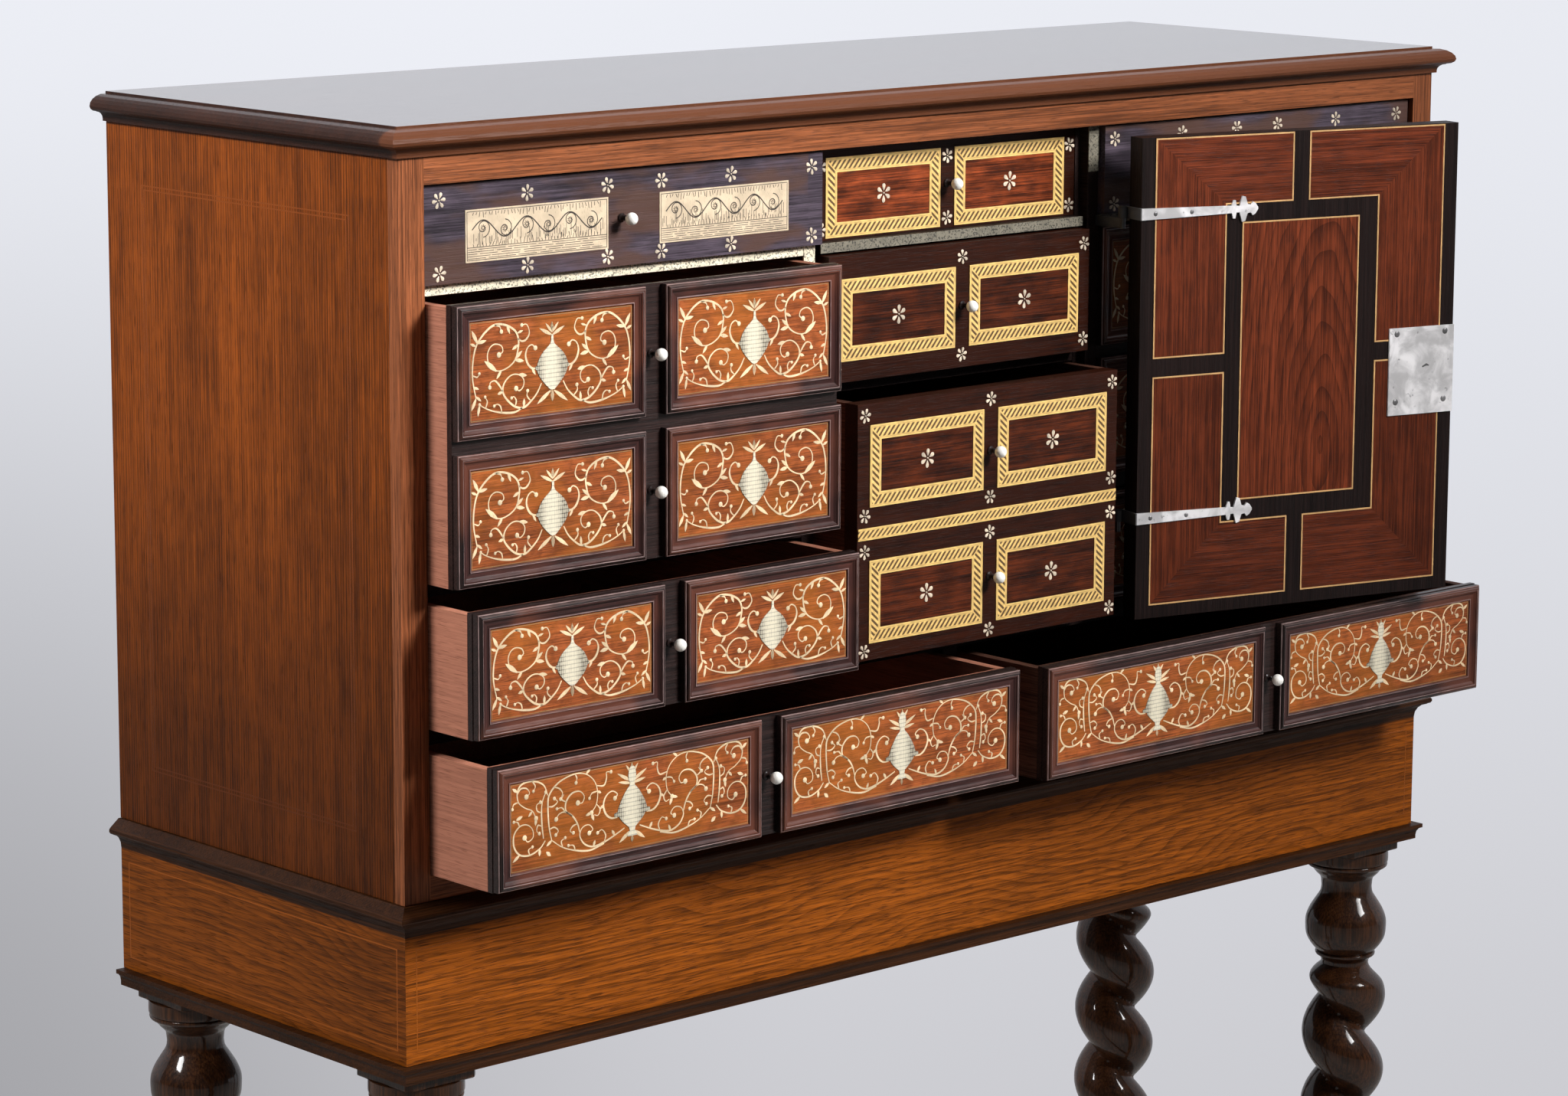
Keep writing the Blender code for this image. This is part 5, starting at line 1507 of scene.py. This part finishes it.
    def rings(self, start):
        """Leg from the top down as the rings of a turned mesh."""
        z = self.leg_top
        rings = self.squared(z + self.post[0], self.post) + self.squared(z, self.abacus)
        z -= self.abacus[0]
        for size, neck, shape in ((self.cap, self.neck, self.cap_shape),
                                  (self.bulb, self.neck, self.bulb_shape),
                                  (self.collar, self.collar_neck, self.collar_shape)):
            rings += self.turned(z, size, neck, shape)
            z -= size[0]
        rings += self.twisted(z, start)
        z -= self.turns * self.pitch
        rings += self.turned(z, self.ankle, self.collar_neck, self.ankle_shape)
        z -= self.ankle[0]
        rings += self.squared(z, self.block)
        z -= self.block[0]
        tall, neck, wide, pad = self.foot
        rise = tall / self.foot_parts
        rings.append(ring(z, neck))
        for i in range(self.foot_steps):
            half = neck + (wide - neck) * math.sin(math.pi * i / self.foot_steps)
            rings.append(ring(z - rise - (tall - rise) * i / self.foot_steps, half))
        return rings + [ring(0.0, pad)]


class CABINET_OT_stage(Operator):
    """Floor, backdrop, lamps and camera"""

    bl_idname = "cabinet.stage"
    bl_label = "Set the stage"

    # Backdrop: radius and steps of its cove, height and half width. Depth of the floor before it.
    cove, cove_steps, wall_height, half_width, floor_depth = 0.02, 8, 7.0, 14.0, 12.0
    # Camera: width of its sensor in millimetres, shift of its picture and nearest and farthest sight.
    sensor, shift, clip = 36.0, (-0.0300, -0.0247), (0.05, 100.0)
    # Place that the lamps are aimed at, and colour of the light from all round.
    lamp_target, room_tint = (-0.50, 0.0, 1.35), (0.93, 0.96, 1.0, 1.0)

    def execute(self, context):
        scene, stage, shades = context.scene, context.scene.cabinet_stage, colours()
        ahead = Vector((math.sin(stage.azimuth), math.cos(stage.azimuth), 0.0))
        right, up = Vector((ahead.y, -ahead.x, 0.0)), Vector((0.0, 0.0, 1.0))
        self.camera(scene, stage, ahead, right)
        foot = Vector((stage.camera[0], stage.camera[1], 0.0)) + ahead * stage.wall
        sweep = []
        for i in range(self.cove_steps + 1):
            bend = math.pi / 2 * i / self.cove_steps
            away, rise = self.cove * (1 - math.sin(bend)), self.cove * (1 - math.cos(bend))
            sweep.append(foot - ahead * away + up * rise)
        self.sheet("backdrop", sweep + [sweep[-1] + up * self.wall_height], right * self.half_width,
                   stage_finish("pale_wall", shades.wall, 1.0, shades.wall_foot, right))
        self.sheet("floor", [sweep[0] - ahead * self.floor_depth, sweep[0]], right * self.half_width,
                   stage_finish("pale_floor", shades.floor, 0.5))
        self.lamps(stage, ahead, right)
        self.room(scene, stage)
        return {"FINISHED"}

    def camera(self, scene, stage, ahead, right):
        """Camera at the photograph's place and framing."""
        look = ahead * math.cos(stage.dip) - Vector((0, 0, math.sin(stage.dip)))
        up = right.cross(look)
        c, s = math.cos(stage.roll), math.sin(stage.roll)
        columns = (right * c + up * s, up * c - right * s, -look)
        data = bpy.data.cameras.new("studio_camera")
        data.sensor_width, data.lens = self.sensor, stage.lens
        data.shift_x, data.shift_y = self.shift
        data.clip_start, data.clip_end = self.clip
        scene.camera = linked("studio_camera", data)
        turn = Matrix(columns).transposed().to_4x4()
        scene.camera.matrix_world = Matrix.Translation(stage.camera) @ turn

    def sheet(self, name, path, reach, finish):
        """Sheet of the stage along a path, reaching as far to both sides."""
        points = [spot + reach * side for spot in path for side in (-1, 1)]
        polygons = [(2 * i, 2 * i + 1, 2 * i + 3, 2 * i + 2) for i in range(len(path) - 1)]
        mesh = bpy.data.meshes.new(name)
        mesh.from_pydata(points, [], polygons)
        mesh.materials.append(finish)
        linked(name, mesh)

    def lamps(self, stage, ahead, right):
        """Three soft lamps, aimed at the upper left of the front and falling off from there."""
        target = Vector(self.lamp_target)
        for name, energy, across, near, height, width, spread in (
            ("key_lamp", stage.key, 2.9, 1.0, 2.9, 1.0, 60.0),
            ("side_lamp", stage.side, -2.0, 1.3, 2.9, 0.8, 52.0),
            ("top_lamp", stage.top, 0.0, 0.3, 3.4, 2.2, 180.0),
        ):
            data = bpy.data.lights.new(name, "AREA")
            data.shape, data.size, data.energy = "SQUARE", width, energy
            data.spread = math.radians(spread)
            made = linked(name, data)
            made.location = target + right * across - ahead * near + Vector((0, 0, height - target.z))
            made.rotation_mode = "QUATERNION"
            made.rotation_quaternion = (target - made.location).to_track_quat("-Z", "Y")

    def room(self, scene, stage):
        """Even light from all round, seen as the pale wall where the backdrop ends."""
        finish = Finish("studio_room", "worlds")
        scene.world = finish.made
        lit = finish.node("ShaderNodeBackground", (), {"Color": self.room_tint, "Strength": stage.sky})
        shown = finish.node("ShaderNodeBackground", (), {"Color": toned(colours().wall, 1.0)})
        seen = finish.node("ShaderNodeLightPath", output="Is Camera Ray")
        mixed = finish.node("ShaderNodeMixShader", (), {0: seen, 1: lit, 2: shown})
        finish.node("ShaderNodeOutputWorld", (), {"Surface": mixed})
        scene.view_settings.view_transform = "Standard"


class CABINET_PT_dressing(Panel):
    bl_idname = "CABINET_PT_dressing"
    bl_label = "Drawer cabinet"
    bl_space_type = "VIEW_3D"
    bl_region_type = "UI"
    bl_category = "Cabinet"

    def draw(self, context):
        for operator in OPERATORS:
            self.layout.operator(operator.bl_idname)
        for group in (context.scene.cabinet_sizes, context.scene.cabinet_colours,
                      context.scene.cabinet_stage):
            box = self.layout.box()
            for name in group.__annotations__:
                box.prop(group, name)


OPERATORS = (CABINET_OT_stage, CABINET_OT_case, CABINET_OT_moulded_fronts,
             CABINET_OT_flat_fronts, CABINET_OT_knobs, CABINET_OT_door, CABINET_OT_stand)
GROUPS = {"cabinet_sizes": CabinetSizes, "cabinet_colours": CabinetColours,
          "cabinet_stage": CabinetStage}


def register():
    for group in GROUPS.values():
        bpy.utils.register_class(group)
    for name, group in GROUPS.items():
        setattr(bpy.types.Scene, name, PointerProperty(type=group))
    for item in OPERATORS + (CABINET_PT_dressing,):
        bpy.utils.register_class(item)


def unregister():
    for item in (CABINET_PT_dressing,) + OPERATORS[::-1]:
        bpy.utils.unregister_class(item)
    for name, group in GROUPS.items():
        delattr(bpy.types.Scene, name)
        bpy.utils.unregister_class(group)


def main():
    register()
    for operator in OPERATORS:
        group, name = operator.bl_idname.split(".")
        getattr(getattr(bpy.ops, group), name)()


if __name__ == "__main__":
    main()
